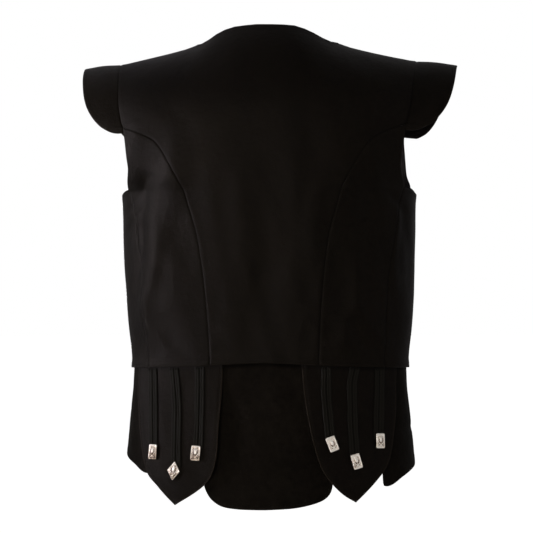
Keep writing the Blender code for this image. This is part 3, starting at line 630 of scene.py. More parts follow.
def waist_path(start, end, cells, above=0.0):
    """The waist seam between two turns, raised by a tuck if asked."""
    turns = np.linspace(start, end, cells + 1)
    return np.stack([turns, waist_height(turns) + above], axis=1)


def chain(*paths):
    """Joins paths end to end."""
    return np.concatenate([paths[0]] + [part[1:] for part in paths[1:]])


def mirrored(places):
    """The same places on the other half of the body."""
    return np.asarray(places) * (-1, 1)


def shares(first, second):
    """Mean share of the length run at each point of two paths."""
    return (runs(first) / runs(first)[-1] + runs(second) / runs(second)[-1]) / 2


def fill(bottom, top, near, far):
    """Grid of places between four paths: near and far run upwards, bottom and top from near to far."""
    u = shares(bottom, top)[None, :, None]
    v = shares(near, far)[:, None, None]
    corners = (1 - v) * ((1 - u) * bottom[0] + u * bottom[-1]) + v * ((1 - u) * top[0] + u * top[-1])
    return (1 - v) * bottom[None] + v * top[None] + (1 - u) * near[:, None] + u * far[:, None] - corners


# Grids and their spacing

def line_numbers(run, fine_low=True, fine_high=True, keep=()):
    """Places, as line numbers of a dense grid, for lines close together at the edges asked for."""
    length = run[-1]
    low = [s for s in FINE_STEPS if s < length / 3] if fine_low else [0.0]
    high = [length - s for s in FINE_STEPS if s < length / 3] if fine_high else [length]
    count = max(int((high[-1] - low[-1]) / MIDDLE_STEP), 2)
    middle = np.linspace(low[-1], high[-1], count + 1)
    goals = np.concatenate([low, middle, high, run[list(keep)]])
    goals = np.unique(np.round(goals, 3))
    apart = np.concatenate([[True], np.diff(goals) > LEAST_STEP])
    goals = goals[apart]
    goals[-1] = length
    return np.interp(goals, run, np.arange(len(run)))


def thin_out(grid, rows, columns):
    """Reads a dense grid at fractional rows and columns."""
    h, w = grid.shape[:2]
    k = np.clip(np.floor(rows).astype(int), 0, h - 2)
    s = (rows - k)[:, None, None]
    grid = grid[k] * (1 - s) + grid[k + 1] * s
    k = np.clip(np.floor(columns).astype(int), 0, w - 2)
    s = (columns - k)[None, :, None]
    return grid[:, k] * (1 - s) + grid[:, k + 1] * s


def even_grid(grid, fine=("low", "high", "near", "far"), keep_columns=(), keep_rows=()):
    """Dense grid of places thinned to an even one, with fine lines along the edges asked for."""
    h, w = grid.shape[:2]
    rows = line_numbers(runs(grid[:, w // 2]), "low" in fine, "high" in fine, keep_rows)
    columns = line_numbers(runs(grid[h // 3]), "near" in fine, "far" in fine, keep_columns)
    return thin_out(grid, rows, columns)


# Cloth

# An edge is a seam, one that is set in without puckers, or turned, with its stitches at an inset
Edge = namedtuple("Edge", "kind line normals inset")
Cloth = namedtuple("Cloth", "piece edges tree")
BUILT = {}
BATCH = 2000


def distance_to(points, line):
    """Distance of points to a line of points."""
    best = np.full(len(points), np.inf)
    starts, spans = line[:-1], np.diff(line, axis=0)
    squares = np.maximum((spans ** 2).sum(1), 1e-12)
    for start in range(0, len(points), BATCH):
        some = points[start:start + BATCH]
        to_start = some[:, None] - starts[None]
        share = np.clip((to_start * spans).sum(2) / squares, 0, 1)
        gap = to_start - share[..., None] * spans
        best[start:start + BATCH] = np.sqrt((gap ** 2).sum(2).min(1))
    return best


def run_beside(points, line):
    """Length run along a line at the line's point nearest to each point."""
    run = length_run(line)
    result = np.empty(len(points))
    for start in range(0, len(points), BATCH):
        gap = points[start:start + BATCH, None] - line[None]
        result[start:start + BATCH] = run[(gap ** 2).sum(2).argmin(1)]
    return result


def creases_of(layer, x, z):
    """Lift by one layer's creases, placed one by one."""
    lift = np.zeros_like(x)
    for crease in CREASES[layer]:
        lean = math.radians(crease.lean)
        dx, dz = x - crease.x, z - crease.height
        along = dx * math.sin(lean) + dz * math.cos(lean)
        across = dx * math.cos(lean) - dz * math.sin(lean)
        run = along / crease.length
        across = across + CREASE_WANDER * crease.length * np.sin(run * CREASE_WANDER_TURN + crease.x)
        fade = 1 - smooth_step(*CREASE_FADE, np.abs(run))
        lift += crease.depth * fade * bump(across, 0, crease.half_width)
    return lift


def crease_lift(name, points):
    """Lift by the creases and by the slow waves of the cloth; panels sewn together share theirs."""
    x, y, z = points[:, 0], points[:, 1], points[:, 2]
    if name in BODICE:
        behind = smooth_step(-SIDE_BLEND, SIDE_BLEND, y)
        lift = behind * creases_of("bodice_back", x, z) + (1 - behind) * creases_of("bodice_front", x, z)
    else:
        lift = creases_of(name, x, z)
    girth = np.arctan2(x, y)
    lift = lift * smooth_step(*WAIST_FADE, np.abs(z - waist_height(girth)))
    for wave in CLOTH_WAVES:
        turns = 2 * math.pi * (girth * MEAN_RADIUS / wave.across + z / wave.up)
        lift += wave.depth * np.sin(turns + wave.phase)
    return lift * bpy.context.scene.waistcoat.crease_depth


def edge_effects(points, edges):
    """Lift beside seams and edges, share of the wall kept there, and marks of rubbed edges with a painted
    rim highlight and of painted shade at seams.
    """
    lift, wall = np.zeros(len(points)), np.ones(len(points))
    worn, hollow = np.zeros(len(points)), np.zeros(len(points))
    for edge in edges:
        away = distance_to(points, edge.line)
        rounded = np.sqrt(1 - (1 - np.minimum(away / EDGE_ROUND, 1)) ** 2)
        if edge.kind in ("seam", "set in"):
            lift -= SEAM_DIP * bump(away, 0, SEAM_WIDTH)
            lift += SEAM_RIDGE * bump(away, SEAM_RIDGE_AT, SEAM_RIDGE_WIDTH)
            hollow = np.maximum(hollow, SEAM_PAINTED_SHADE * bump(away, 0, SEAM_WIDTH))
        if edge.kind == "seam":
            run = run_beside(points, edge.line)
            run = run + PUCKER_DRIFT * np.sin(run / PUCKER_DRIFT_LENGTH)
            ripple = np.sin(2 * math.pi * run / PUCKER_PITCH)
            lift += SEAM_PUCKER * ripple * np.exp(-away / PUCKER_REACH)
        if edge.kind == "turned":
            lift += TURN_RISE * (1 - smooth_step(*TURN_REACH, away))
            wall = np.minimum(wall, RIM_SHARE + (1 - RIM_SHARE) * rounded)
            worn = np.maximum(worn, np.exp(-away / RIM_WEAR_HIGHLIGHT_REACH))
            if edge.inset:
                lift -= STITCH_TROUGH * bump(away, edge.inset, STITCH_TROUGH_WIDTH)
    return lift, wall, {"worn": worn, "hollow": hollow}


def deselect():
    """Leaves edit mode and selects nothing."""
    if bpy.context.object and bpy.context.object.mode != "OBJECT":
        bpy.ops.object.mode_set(mode="OBJECT")
    bpy.ops.object.select_all(action="DESELECT")


def pick(piece):
    """Makes a piece the only selected and the active one."""
    deselect()
    piece.select_set(True)
    bpy.context.view_layer.objects.active = piece


def read(parts, name, width):
    """One property of all of a mesh's parts, as rows of numbers."""
    flat = np.empty(len(parts) * width)
    parts.foreach_get(name, flat)
    return flat.reshape(-1, width)


def vertex_points(piece):
    """The points of a piece in millimetres."""
    return read(piece.data.vertices, "co", 3) / MM


def vertex_normals(piece):
    """The normals of a piece's points."""
    piece.data.update()
    return read(piece.data.vertex_normals, "vector", 3)


def move_points(piece, points):
    """Puts the points of a piece, given in millimetres, in their places."""
    piece.data.vertices.foreach_set("co", (np.asarray(points) * MM).ravel())
    piece.data.update()


def add_marks(piece, marks):
    """Gives the points of a piece the values that its material reads."""
    for name, values in marks.items():
        layer = piece.data.attributes.new(name, "FLOAT", "POINT")
        layer.data.foreach_set("value", values.astype(np.float32))


def grid_piece(name, points, charts, marks=None):
    """Grid mesh with its points, in millimetres, its chart in the UV map, in metres, and its marks."""
    h, w = points.shape[:2]
    deselect()
    bpy.ops.mesh.primitive_grid_add(x_subdivisions=w - 1, y_subdivisions=h - 1, size=1, calc_uvs=True)
    piece = bpy.context.object
    piece.name = name
    mesh = piece.data
    flat = read(mesh.vertices, "co", 3)
    j = np.rint((flat[:, 0] + 0.5) * (w - 1)).astype(int)
    i = np.rint((flat[:, 1] + 0.5) * (h - 1)).astype(int)
    loops = np.empty(len(mesh.loops), int)
    mesh.loops.foreach_get("vertex_index", loops)
    mesh.uv_layers[0].data.foreach_set("uv", (charts[i, j] * MM)[loops].ravel())
    add_marks(piece, {key: values[i, j] for key, values in (marks or {}).items()})
    move_points(piece, points[i, j])
    return piece


def edit_whole(piece, operator, **settings):
    """Runs one operator of edit mode on all of a piece."""
    pick(piece)
    bpy.ops.object.mode_set(mode="EDIT")
    bpy.ops.mesh.select_all(action="SELECT")
    operator(**settings)
    bpy.ops.object.mode_set(mode="OBJECT")


def merge_doubles(piece):
    """Merges the points of a piece that lie on each other."""
    edit_whole(piece, bpy.ops.mesh.remove_doubles, threshold=MERGE_DISTANCE * MM)


def weld(pieces, name):
    """Joins grids that share an edge into one mesh."""
    pick(pieces[0])
    for piece in pieces:
        piece.select_set(True)
    bpy.ops.object.join()
    whole = bpy.context.object
    whole.name = name
    merge_doubles(whole)
    return whole


def face_outwards(piece, outward):
    """Turns the mesh round if its faces look against the outward directions of its points."""
    if (vertex_normals(piece) * outward).sum() < 0:
        piece.data.flip_normals()
        piece.data.update()


def thicken(piece, thickness, group=""):
    """Gives a piece its wall inwards, thinner where a vertex group says so."""
    pick(piece)
    bpy.ops.object.modifier_add(type="SOLIDIFY")
    solidify = piece.modifiers[-1]
    solidify.thickness = thickness * MM
    solidify.offset = -1
    solidify.vertex_group = group
    bpy.ops.object.modifier_apply(modifier=solidify.name)


def finish_piece(piece, nodes, material):
    """Gives a piece its material and its body, and hides the imported parts of the nodes that it stands
    for.
    """
    piece.data.materials.clear()
    piece.data.materials.append(material)
    if nodes:
        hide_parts(*nodes)
    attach(piece, "root")


def finish_cloth(name, piece, lift, edges, wall, marks, thickness, look):
    """Gives a cloth its last shape, its wall and looks, and keeps it for the sewing."""
    moved = vertex_points(piece) + vertex_normals(piece) * (lift - (1 - wall) * thickness / 2)[:, None]
    move_points(piece, moved)
    tree = BVHTree.FromPolygons([tuple(p) for p in moved], [tuple(f.vertices) for f in piece.data.polygons])
    area = float(read(piece.data.polygons, "area", 1).sum())
    group = piece.vertex_groups.new(name="wall")
    for k, share in enumerate(wall):
        group.add([k], float(share), "REPLACE")
    add_marks(piece, marks)
    thicken(piece, thickness, group.name)
    bpy.ops.object.shade_smooth_by_angle(angle=math.radians(SMOOTH_ANGLE))
    finish_piece(piece, [name], cloth_material(look))
    chart = read(piece.data.uv_layers[0].data, "uv", 2)
    BUILT[name] = Cloth(piece, edges, tree)


def form_chart(turn, height, side):
    """Chart of the body form: length round it and length up it."""
    turns = np.linspace(0, CHART_END, CHART_POINTS)
    run = length_run(bare_form(turns, np.full(CHART_POINTS, CHART_HEIGHT)))
    across = np.sign(turn) * np.interp(np.abs(turn), turns, run) * side
    up = np.where(height > CAP_BASE, CAP_BASE + (height - CAP_BASE) * CAP_STRETCH, height)
    return np.stack([across, up], axis=-1)


def waist_marks(name, points):
    """Lift of the bodice's lower edge, and the painted shade under it on the skirts and tashes."""
    above = points[:, 2] - waist_height(np.arctan2(points[:, 0], points[:, 1]))
    if name in BODICE:
        return BODICE_EDGE_RISE * (1 - smooth_step(*BODICE_EDGE_REACH, above)), 0.0
    return 0.0, 1 - smooth_step(*WAIST_SHADE, -above)


def on_form(turn, height):
    """No lift: the cloth lies on the body form."""
    return np.zeros_like(turn)


def make_cloth(name, grids, edges, thickness=CLOTH, lift=on_form, side=1, look="bodice"):
    """Shell of one panel on the body form, with its creases, its edges and its wall."""
    pieces = []
    for grid in grids:
        turn, height = grid[..., 0], grid[..., 1]
        points = form_points(turn, height, lift(turn, height), side)
        pieces.append(grid_piece(name + "_cloth", points, form_chart(turn, height, side)))
    piece = weld(pieces, name + "_cloth") if len(pieces) > 1 else pieces[0]
    points = vertex_points(piece)
    face_outwards(piece, unit(points * (1, 1, 0) + (0, 0, 1e-6)))
    lines = []
    for kind, line, inset in edges:
        turn, height = line[:, 0], line[:, 1]
        points_on = form_points(turn, height, lift(turn, height), side)
        lines.append(Edge(kind, points_on, form_normals(turn, height, side), inset))
    beside, wall, marks = edge_effects(points, lines)
    proud, shade = waist_marks(name, points)
    # The painted shade under the bodice's edge joins the painted shade at the seams
    marks["hollow"] = np.maximum(marks["hollow"], shade)
    raised = beside + crease_lift(name, points) + proud
    finish_cloth(name, piece, raised, lines, wall, marks, thickness, look)


# Materials

def node_adder(tree):
    """A function that adds a node to a tree, with its settings and with values or links for its inputs."""
    def node(kind, inputs=None, **settings):
        made = tree.nodes.new(kind)
        for key, value in settings.items():
            setattr(made, key, value)
        for key, value in (inputs or {}).items():
            if isinstance(value, bpy.types.NodeSocket):
                tree.links.new(value, made.inputs[key])
            else:
                made.inputs[key].default_value = value
        return made

    return node


def new_material(name):
    """Material with its Principled shader and a function that adds linked nodes."""
    material = bpy.data.materials.new(name)
    material.use_nodes = True
    return material, material.node_tree.nodes["Principled BSDF"], node_adder(material.node_tree)


def mixed(node, low, high, factor):
    """Colour between two colours."""
    return node("ShaderNodeMix", {0: factor, 6: low, 7: high}, data_type="RGBA").outputs[2]


def noise(node, place, scale, detail, roughness=0.5):
    """Noise at a place, as an output from 0 to 1."""
    inputs = {"Vector": place, "Scale": scale, "Detail": detail, "Roughness": roughness}
    return node("ShaderNodeTexNoise", inputs).outputs["Fac"]


def ranged(node, value, low=0.0, high=1.0, to_low=0.0, to_high=1.0):
    """A value's range from low to high spread over another range."""
    inputs = {"Value": value, "From Min": low, "From Max": high, "To Min": to_low, "To Max": to_high}
    return node("ShaderNodeMapRange", inputs).outputs[0]


def worked_out(node, operation, *values):
    """Result of one sum on values or outputs."""
    return node("ShaderNodeMath", dict(enumerate(values)), operation=operation).outputs[0]


def bumped(node, height, strength, distance, normal=None):
    """Normal with a fine relief, on top of another one if given."""
    inputs = {"Height": height, "Strength": strength, "Distance": distance}
    if normal:
        inputs["Normal"] = normal
    return node("ShaderNodeBump", inputs).outputs[0]


def mark(node, name):
    """A value that the points of the piece carry."""
    return node("ShaderNodeAttribute", attribute_name=name).outputs["Fac"]


def set_shader(shader, base, rough, normal, values):
    """Links a finish's colour, roughness and normal to its shader and sets its other values there."""
    for name, output in (("Base Color", base), ("Roughness", rough), ("Normal", normal)):
        shader.id_data.links.new(output, shader.inputs[name])
    for name, value in values.items():
        shader.inputs[name].default_value = value


def shaded(colour, factor):
    """A colour made lighter or darker."""
    return (*[channel * factor for channel in colour[:3]], 1.0)


def cloth_material(kind):
    """Black barathea: a fine broken rib weave with a short nap, lighter at its edges by rubbing and a
    painted rim highlight, darkened by painted shade at its seams and under the bodice's edge.
    """
    settings = bpy.context.scene.waistcoat
    look = CLOTH_LOOKS[kind]
    if look.name in bpy.data.materials:
        return bpy.data.materials[look.name]
    material, shader, node = new_material(look.name)
    colour = settings.tash_colour if kind == "tash" else settings.cloth_colour
    colour = [channel * tint for channel, tint in zip(colour, look.tint)]
    place = node("ShaderNodeTexCoord")
    ribs = [1 / settings.weave_pitch] * 3
    grain = node("ShaderNodeMapping", {"Vector": place.outputs["UV"], "Scale": ribs}).outputs[0]
    rib = node("ShaderNodeTexWave", {
        "Vector": grain, "Scale": 0.32, "Distortion": 0.6, "Detail": 1.0, "Detail Scale": 1.5,
    }, bands_direction="DIAGONAL")
    broken = node("ShaderNodeTexVoronoi", {"Vector": grain, "Scale": 1.0, "Randomness": 0.55})
    yarn = noise(node, grain, scale=1.7, detail=3.0, roughness=0.6)
    weave = worked_out(node, "ADD", rib.outputs["Fac"], broken.outputs["Distance"])
    weave = worked_out(node, "ADD", weave, yarn)
    cloud = noise(node, place.outputs["Object"], scale=9.0, detail=4.0, roughness=0.65)
    fleck = noise(node, place.outputs["Object"], scale=900.0, detail=2.0, roughness=0.8)
    mottle = noise(node, place.outputs["Object"], scale=130.0, detail=3.0, roughness=0.7)
    tone = worked_out(node, "ADD", cloud, mottle)
    clouded = ranged(node, tone, low=0.7, high=1.3)
    base = mixed(node, shaded(colour, 0.45), shaded(colour, 1.6), clouded)
    base = mixed(node, base, shaded(colour, 2.4), ranged(node, fleck, low=0.62, high=0.85))
    # Lighter along the turned edges: rubbing with a painted rim highlight, strongest on the tashes
    worn = worked_out(node, "MULTIPLY", mark(node, "worn"), look.wear)
    base = mixed(node, base, shaded(colour, 7.0), worn)
    # Painted shade at the seams and under the bodice's lower edge
    base = mixed(node, base, shaded(colour, 0.12), mark(node, "hollow"))
    rough = ranged(node, yarn, to_low=0.40, to_high=0.56)
    relief = bumped(node, weave, strength=0.5, distance=0.00022)
    uneven = worked_out(node, "MULTIPLY_ADD", mottle, 0.35, cloud)
    relief = bumped(node, uneven, strength=0.38, distance=0.004, normal=relief)
    set_shader(shader, base, rough, relief, {
        "Specular IOR Level": look.gloss, "Specular Tint": (1.0, 0.85, 0.75, 1.0),
        "Sheen Weight": settings.sheen * look.sheen, "Sheen Roughness": 0.45,
        "Sheen Tint": (0.90, 0.78, 1.0, 1.0),
    })
    return material


def braid_material():
    """Black ribbed braid with the gloss of silk, its plait drawn by the chart of the piece as painted light
    and shade.
    """
    settings = bpy.context.scene.waistcoat
    if "black ribbed braid" in bpy.data.materials:
        return bpy.data.materials["black ribbed braid"]
    material, shader, node = new_material("black ribbed braid")
    colour = settings.braid_colour
    place = node("ShaderNodeTexCoord")
    thread = node("ShaderNodeMapping", {"Vector": place.outputs["UV"], "Scale": (4000, 1500, 1000)})
    strand = noise(node, thread.outputs[0], scale=1.0, detail=2.0)
    # The plait mark carries the braid's painted light and shade
    base = mixed(node, shaded(colour, 0.35), shaded(colour, 1.25), mark(node, "plait"))
    gleam = ranged(node, strand, low=0.55, high=0.8, to_high=0.5)
    base = mixed(node, base, shaded(colour, 1.7), gleam)
    rough = ranged(node, strand, to_low=0.5, to_high=0.7)
    set_shader(shader, base, rough, bumped(node, strand, strength=0.4, distance=0.00015), {
        "Specular IOR Level": 0.042, "Sheen Weight": settings.sheen, "Sheen Roughness": 0.4,
    })
    return material


def thread_material():
    """Black sewing thread, twisted and a little glossy."""
    if "black sewing thread" in bpy.data.materials:
        return bpy.data.materials["black sewing thread"]
    material, shader, node = new_material("black sewing thread")
    place = node("ShaderNodeTexCoord")
    twist = node("ShaderNodeTexWave", {
        "Vector": place.outputs["Object"], "Scale": 900.0, "Distortion": 1.0,
    }, bands_direction="DIAGONAL").outputs["Fac"]
    colour = bpy.context.scene.waistcoat.cloth_colour
    base = mixed(node, shaded(colour, 0.7), shaded(colour, 1.7), twist)
    rough = ranged(node, twist, to_low=0.45, to_high=0.6)
    relief = bumped(node, twist, strength=0.5, distance=0.0001)
    set_shader(shader, base, rough, relief, {"Specular IOR Level": 0.07})
    return material


def silver_material():
    """Cast silver, bright on its high places and darkened brown in its hollows, with the painted shade and
    reflection that its tones carry.
    """
    if "antique silver" in bpy.data.materials:
        return bpy.data.materials["antique silver"]
    settings = bpy.context.scene.waistcoat
    material, shader, node = new_material("antique silver")
    place = node("ShaderNodeTexCoord").outputs["Object"]
    grime = noise(node, place, scale=420.0, detail=4.0, roughness=0.6)
    dirty = ranged(node, grime, low=0.3, high=0.7, to_high=0.62)
    # The buttons' tones: patina in hollows, with painted shade and reflection
    level = worked_out(node, "SUBTRACT", mark(node, "relief"), dirty)
    clean_and_lit = ranged(node, level, low=0.22, high=0.70)
    dark, toned = shaded(settings.tarnish_and_shade_colour, 1), shaded(settings.toned_colour, 1)
    base = mixed(node, dark, toned, ranged(node, level, high=0.28))
    base = mixed(node, base, shaded(settings.silver_colour, 1), clean_and_lit)
    rough = ranged(node, clean_and_lit, to_low=0.5, to_high=0.22)
    relief = bumped(node, grime, strength=0.3, distance=0.0002)
    set_shader(shader, base, rough, relief, {"Metallic": SILVER_METALLIC})
    return material


# Panels

def make_back_centre():
    """Centre back, cut in one from princess seam to princess seam."""
    princess = spots_path(PRINCESS_SEAM, 14 * SUB)
    armhole = spots_path(ARMHOLE_ABOVE_NOTCH, 8 * SUB)
    shoulder = path([armhole[-1], (float(turn_of(NECK_X, 0)), 0.0)], 5 * SUB)
    neck = spots_path(BACK_NECK, 7 * SUB)
    top_half = chain(shoulder, neck)
    top = chain(mirrored(top_half), top_half[::-1])
    cells = len(top) - 1
    bottom = waist_path(-princess[0][0], princess[0][0], cells)
    yoke = path([mirrored(princess)[-1], princess[-1]], cells)
    below = fill(bottom, yoke, mirrored(princess), princess)
    above = fill(yoke, top, mirrored(armhole), armhole)
    whole = np.concatenate([below, above[1:]])
    corner = len(shoulder) - 1
    grid = even_grid(whole, keep_columns=(corner, cells - corner), keep_rows=(len(princess) - 1,))
    collar = chain(neck, mirrored(neck)[::-1])
    edges = [
        ("seam", princess, None), ("seam", mirrored(princess), None),
        ("seam", armhole, None), ("seam", mirrored(armhole), None),
        ("seam", shoulder, None), ("seam", mirrored(shoulder), None),
        ("turned", collar, EDGE_INSET), ("turned", bottom, HEM_INSET),
    ]
    make_cloth("back_centre", [grid], edges)


def make_back_side(label, side):
    """Side back, between the princess seam and the side seam."""
    princess = spots_path(PRINCESS_SEAM, 14 * SUB)
    side_seam = spots_path(SIDE_SEAM, 14 * SUB)
    bottom = waist_path(princess[0][0], side_seam[0][0], 7 * SUB)
    top = spots_path(ARMHOLE_BELOW_NOTCH, 7 * SUB)
    edges = [
        ("seam", princess, None), ("seam", side_seam, None),
        ("turned", top, EDGE_INSET), ("turned", bottom, HEM_INSET),
    ]
    grid = even_grid(fill(bottom, top, princess, side_seam))
    make_cloth("back_side_" + label, [grid], edges, side=side)


def right_lap_lift(turn, height):
    """The right front dips under the left one along the centre front."""
    under = CLOSE_SET_LIFT * (1 - smooth_step(*LAP_FADE, form_x(turn, height)))
    return np.where(np.cos(turn) > 0, 0.0, under)


def skirt_lift(turn, height):
    """The skirts lie one cloth under the bodice, and two under its lap at the centre front."""
    under = CLOSE_SET_LIFT * (1 - smooth_step(*SKIRT_FADE, form_x(turn, height)))
    return SKIRT_LIFT + np.where(np.cos(turn) > 0, 0.0, under)


def make_front(label, side, lift):
    """Front, from the side seam round to its lapped edge, with the V neck."""
    seam = spots_path(SIDE_SEAM, 9 * SUB)
    chest = spot_place(FRONT_ARMHOLE[0], True)
    underarm = path([seam[-1], (math.radians(UNDERARM_TURN), UNDERARM_HEIGHT), chest], 8 * SUB)
    lap_top = spot_place(NECK_V[0], True)
    lap_foot = spot_place(Spot(-FRONT_LAP, None), True)
    lap = path([lap_foot, lap_top], 9 * SUB)
    chest_line = path([chest, ((chest[0] + lap_top[0]) / 2, CHEST_LINE_HEIGHT), lap_top], 9 * SUB)
    turn_at_chest = chest[0] - math.radians(CHEST_TURN_SHIFT)
    bottom = chain(
        waist_path(seam[0][0], turn_at_chest, 8 * SUB),
        waist_path(turn_at_chest, lap_foot[0], 9 * SUB),
    )
    low = fill(bottom, chain(underarm, chest_line), seam, lap)
    armhole = spots_path(FRONT_ARMHOLE, 12 * SUB, True)
    neck = spots_path(NECK_V, 12 * SUB, True)
    shoulder = path([armhole[-1], neck[-1]], 9 * SUB)
    high = fill(chest_line, shoulder, armhole, neck)
    side_columns = line_numbers(runs(underarm), True, False)
    chest_columns = line_numbers(runs(chest_line), True, True)
    columns = np.concatenate([side_columns, len(underarm) - 1 + chest_columns[1:]])
    low = thin_out(low, line_numbers(runs(low[:, low.shape[1] // 2])), columns)
    high = thin_out(high, line_numbers(runs(high[:, high.shape[1] // 2]), False, True), chest_columns)
    edges = [
        ("seam", seam, None), ("seam", shoulder, None),
        ("turned", chain(underarm, armhole), EDGE_INSET),
        ("turned", chain(lap, neck), EDGE_INSET), ("turned", bottom, HEM_INSET),
    ]
    make_cloth("front_" + label, [low, high], edges, lift=lift, side=side)


def wing_root(side):
    """Line on which a wing is sewn in: the armhole from behind, over the shoulder, to the front."""
    low = path([spot_place(WING_BACK_END), spot_place(ARMHOLE_ABOVE_NOTCH[0])], SUB)
    front = spots_path(FRONT_ARMHOLE, 18 * SUB, True)[::-1]
    line = chain(low, spots_path(ARMHOLE_ABOVE_NOTCH, 12 * SUB), front[front[:, 1] > WING_FRONT_END])
    points = form_points(line[:, 0], line[:, 1], 0.0, side)
    lift = crease_lift(BODICE[0], points)
    return points + form_normals(line[:, 0], line[:, 1], side) * lift[:, None]


def away_from_cap(points):
    """Directions out from the middle of the shoulder caps."""
    return unit((points - (0, 0, CAP_BASE)) * (0, 1, 1))


def wing_points(along, out, label, side):
    """Points of a wing: along runs from its back end to its front end, out from the seam to its edge."""
    line = wing_root(side)
    run = length_run(line)
    root = points_at(along * run[-1], run, line) * (side, 1, 1)
    drop = np.clip((WING_TOP - root[..., 2]) / WING_DROP, 0, 1)
    share = (1 - drop ** WING_ROUNDNESS) ** (1 / WING_ROUNDNESS)
    reach = WING_REACH[label] * share + WING_END + WING_UNDER_EDGE
    puff = WING_PUFF * np.sin(math.pi * out) * share
    wave = WING_WAVE * np.sin(root[..., 1] / WING_WAVE_PITCH + side)
    wave = wave * smooth_step(*WING_WAVE_REACH, out) * share
    run = reach * out
    tuck = WING_TUCK * (1 - smooth_step(0, WING_TUCK_REACH, run))
    step = np.stack([run - WING_UNDER_EDGE, 0 * reach, -WING_DROOP * run], axis=-1)
    return (root + step + away_from_cap(root) * (puff + wave - tuck)[..., None]) * (side, 1, 1)


def make_wing(label, side):
    """Crescent wing over the shoulder, sewn in along the top of the armhole."""
    name = "wing_" + label
    along = np.linspace(0, 1, WING_LINES)
    along = along - WING_LINE_CROWD * np.sin(2 * math.pi * along) / (2 * math.pi)
    fine = [step / WING_REACH[label] for step in FINE_STEPS]
    middle = np.linspace(fine[-1], 1 - fine[-1], WING_MIDDLE_LINES)[1:-1]
    out = np.array([*fine, *middle, *[1 - share for share in reversed(fine)]])
    a, u = np.meshgrid(along, out)
    points = wing_points(a, u, label, side)
    length = length_run(points[len(out) // 2])[-1]
    charts = np.stack([a * length, u * WING_REACH[label]], axis=-1)
    piece = grid_piece(name + "_cloth", points, charts)
    bare = vertex_points(piece)
    face_outwards(piece, away_from_cap(bare))
    root, rim = points[0], np.concatenate([points[:, 0], points[-1], points[::-1, -1]])
    edges = [Edge("set in", root, None, None), Edge("turned", rim, away_from_cap(rim), WING_INSET)]
    lift, wall, marks = edge_effects(bare, edges)
    # The wing's seam gets a weaker painted shade
    marks["hollow"] = marks["hollow"] * WING_SEAM_SHADE
    finish_cloth(name, piece, lift, edges, wall, marks, WING_CLOTH, name)


def make_back_skirt():
    """Centre back skirt, under the tashes, with rounded lower corners."""
    edge_top = float(turn_of(BACK_SKIRT_X, WAIST_SEAM[0].height))
    left_hem = spots_path(BACK_SKIRT_HEM["left"], 7 * SUB)
    right_hem = mirrored(spots_path(BACK_SKIRT_HEM["right"], 7 * SUB))
    top = waist_path(-edge_top, edge_top, 14 * SUB, TUCK)
    hem = chain(right_hem, left_hem[::-1])
    right_edge, left_edge = path([hem[0], top[0]], 8 * SUB), path([hem[-1], top[-1]], 8 * SUB)
    grid = even_grid(fill(hem, top, right_edge, left_edge), fine=("low", "near", "far"))
    whole = chain(right_edge[::-1], hem, left_edge)
    edges = [("turned", whole, HEM_INSET)]
    make_cloth("skirt_back", [grid], edges, lift=skirt_lift, look="skirt")


def make_side_skirt(label, side):
    """Side skirt, from under the tash round to the centre front."""
    back_top = float(turn_of(FLAP_BACK_X, WAIST_SEAM[0].height))
    front_top = float(turn_of(FLAP_FRONT_TOP_X, WAIST_SEAM[-1].height, True))
    places = [spot_place(spot) for spot in FLAP_CORNER]
    places += [(math.radians(row.turn), row.height) for row in FLAP_HEM]
    places += [spot_place(spot, True) for spot in FLAP_FRONT]
    fade = np.radians(FLAP_RISE_FADE)
    rises = [FLAP_RISE[label] * (1 - float(smooth_step(*fade, turn))) for turn, height in places]
    hem = path([(turn, height + rise) for (turn, height), rise in zip(places, rises)], 26 * SUB)
    top = waist_path(back_top, front_top, 26 * SUB, TUCK)
    back_edge, front_edge = path([hem[0], top[0]], 6 * SUB), path([hem[-1], top[-1]], 6 * SUB)
    grid = even_grid(fill(hem, top, back_edge, front_edge), fine=("low", "near", "far"))
    whole = chain(back_edge[::-1], hem, front_edge)
    edges = [("turned", whole, HEM_INSET)]
    make_cloth("skirt_side_" + label, [grid], edges, lift=skirt_lift, side=side, look="skirt")


def tash_lift(turn, height):
    """The tash leaves the waist seam and stands off the skirts below it."""
    fall = waist_height(turn) - height
    curl = 1 - smooth_step(*TASH_CURL_FADE, form_x(turn, height))
    curl = curl * TASH_INNER_CURL * smooth_step(*TASH_CURL_FALL, fall)
    rise = (TASH_STAND_OFF - TASH_LIFT_AT_SEAM) * smooth_step(0, TASH_STAND_OFF_FALL, fall)
    return TASH_LIFT_AT_SEAM + rise + curl


def make_tash(label, side):
    """Shield shaped tash, hung from the waist seam over the skirts."""
    inner = spots_path(TASH_INNER[label], 9 * SUB)[::-1]
    outer = spots_path(TASH_OUTER[label], 9 * SUB)[::-1]
    inner_foot = spots_path(TASH_INNER_FOOT[label], 5 * SUB)
    foot = chain(inner_foot, spots_path(TASH_OUTER_FOOT[label], 5 * SUB))
    top = waist_path(inner[-1][0], outer[-1][0], 10 * SUB)
    grid = even_grid(fill(foot, top, inner, outer), keep_columns=(5 * SUB,))
    edges = [("turned", chain(inner[::-1], foot, outer), TASH_INSET)]
    make_cloth("tash_" + label, [grid], edges, TASH_CLOTH, tash_lift, side, "tash")


# Braids and buttons

def tash_points(x, height, lift, side, name):
    """Points above the outer face of a tash, creases included."""
    x, height = np.broadcast_arrays(np.asarray(x, float), np.asarray(height, float))
    turn = turn_of(x, height)
    bare = form_points(turn, height, tash_lift(turn, height), side)
    crease = crease_lift(name, bare.reshape(-1, 3)).reshape(x.shape)
    return bare + form_normals(turn, height, side) * np.asarray(lift + crease)[..., None]


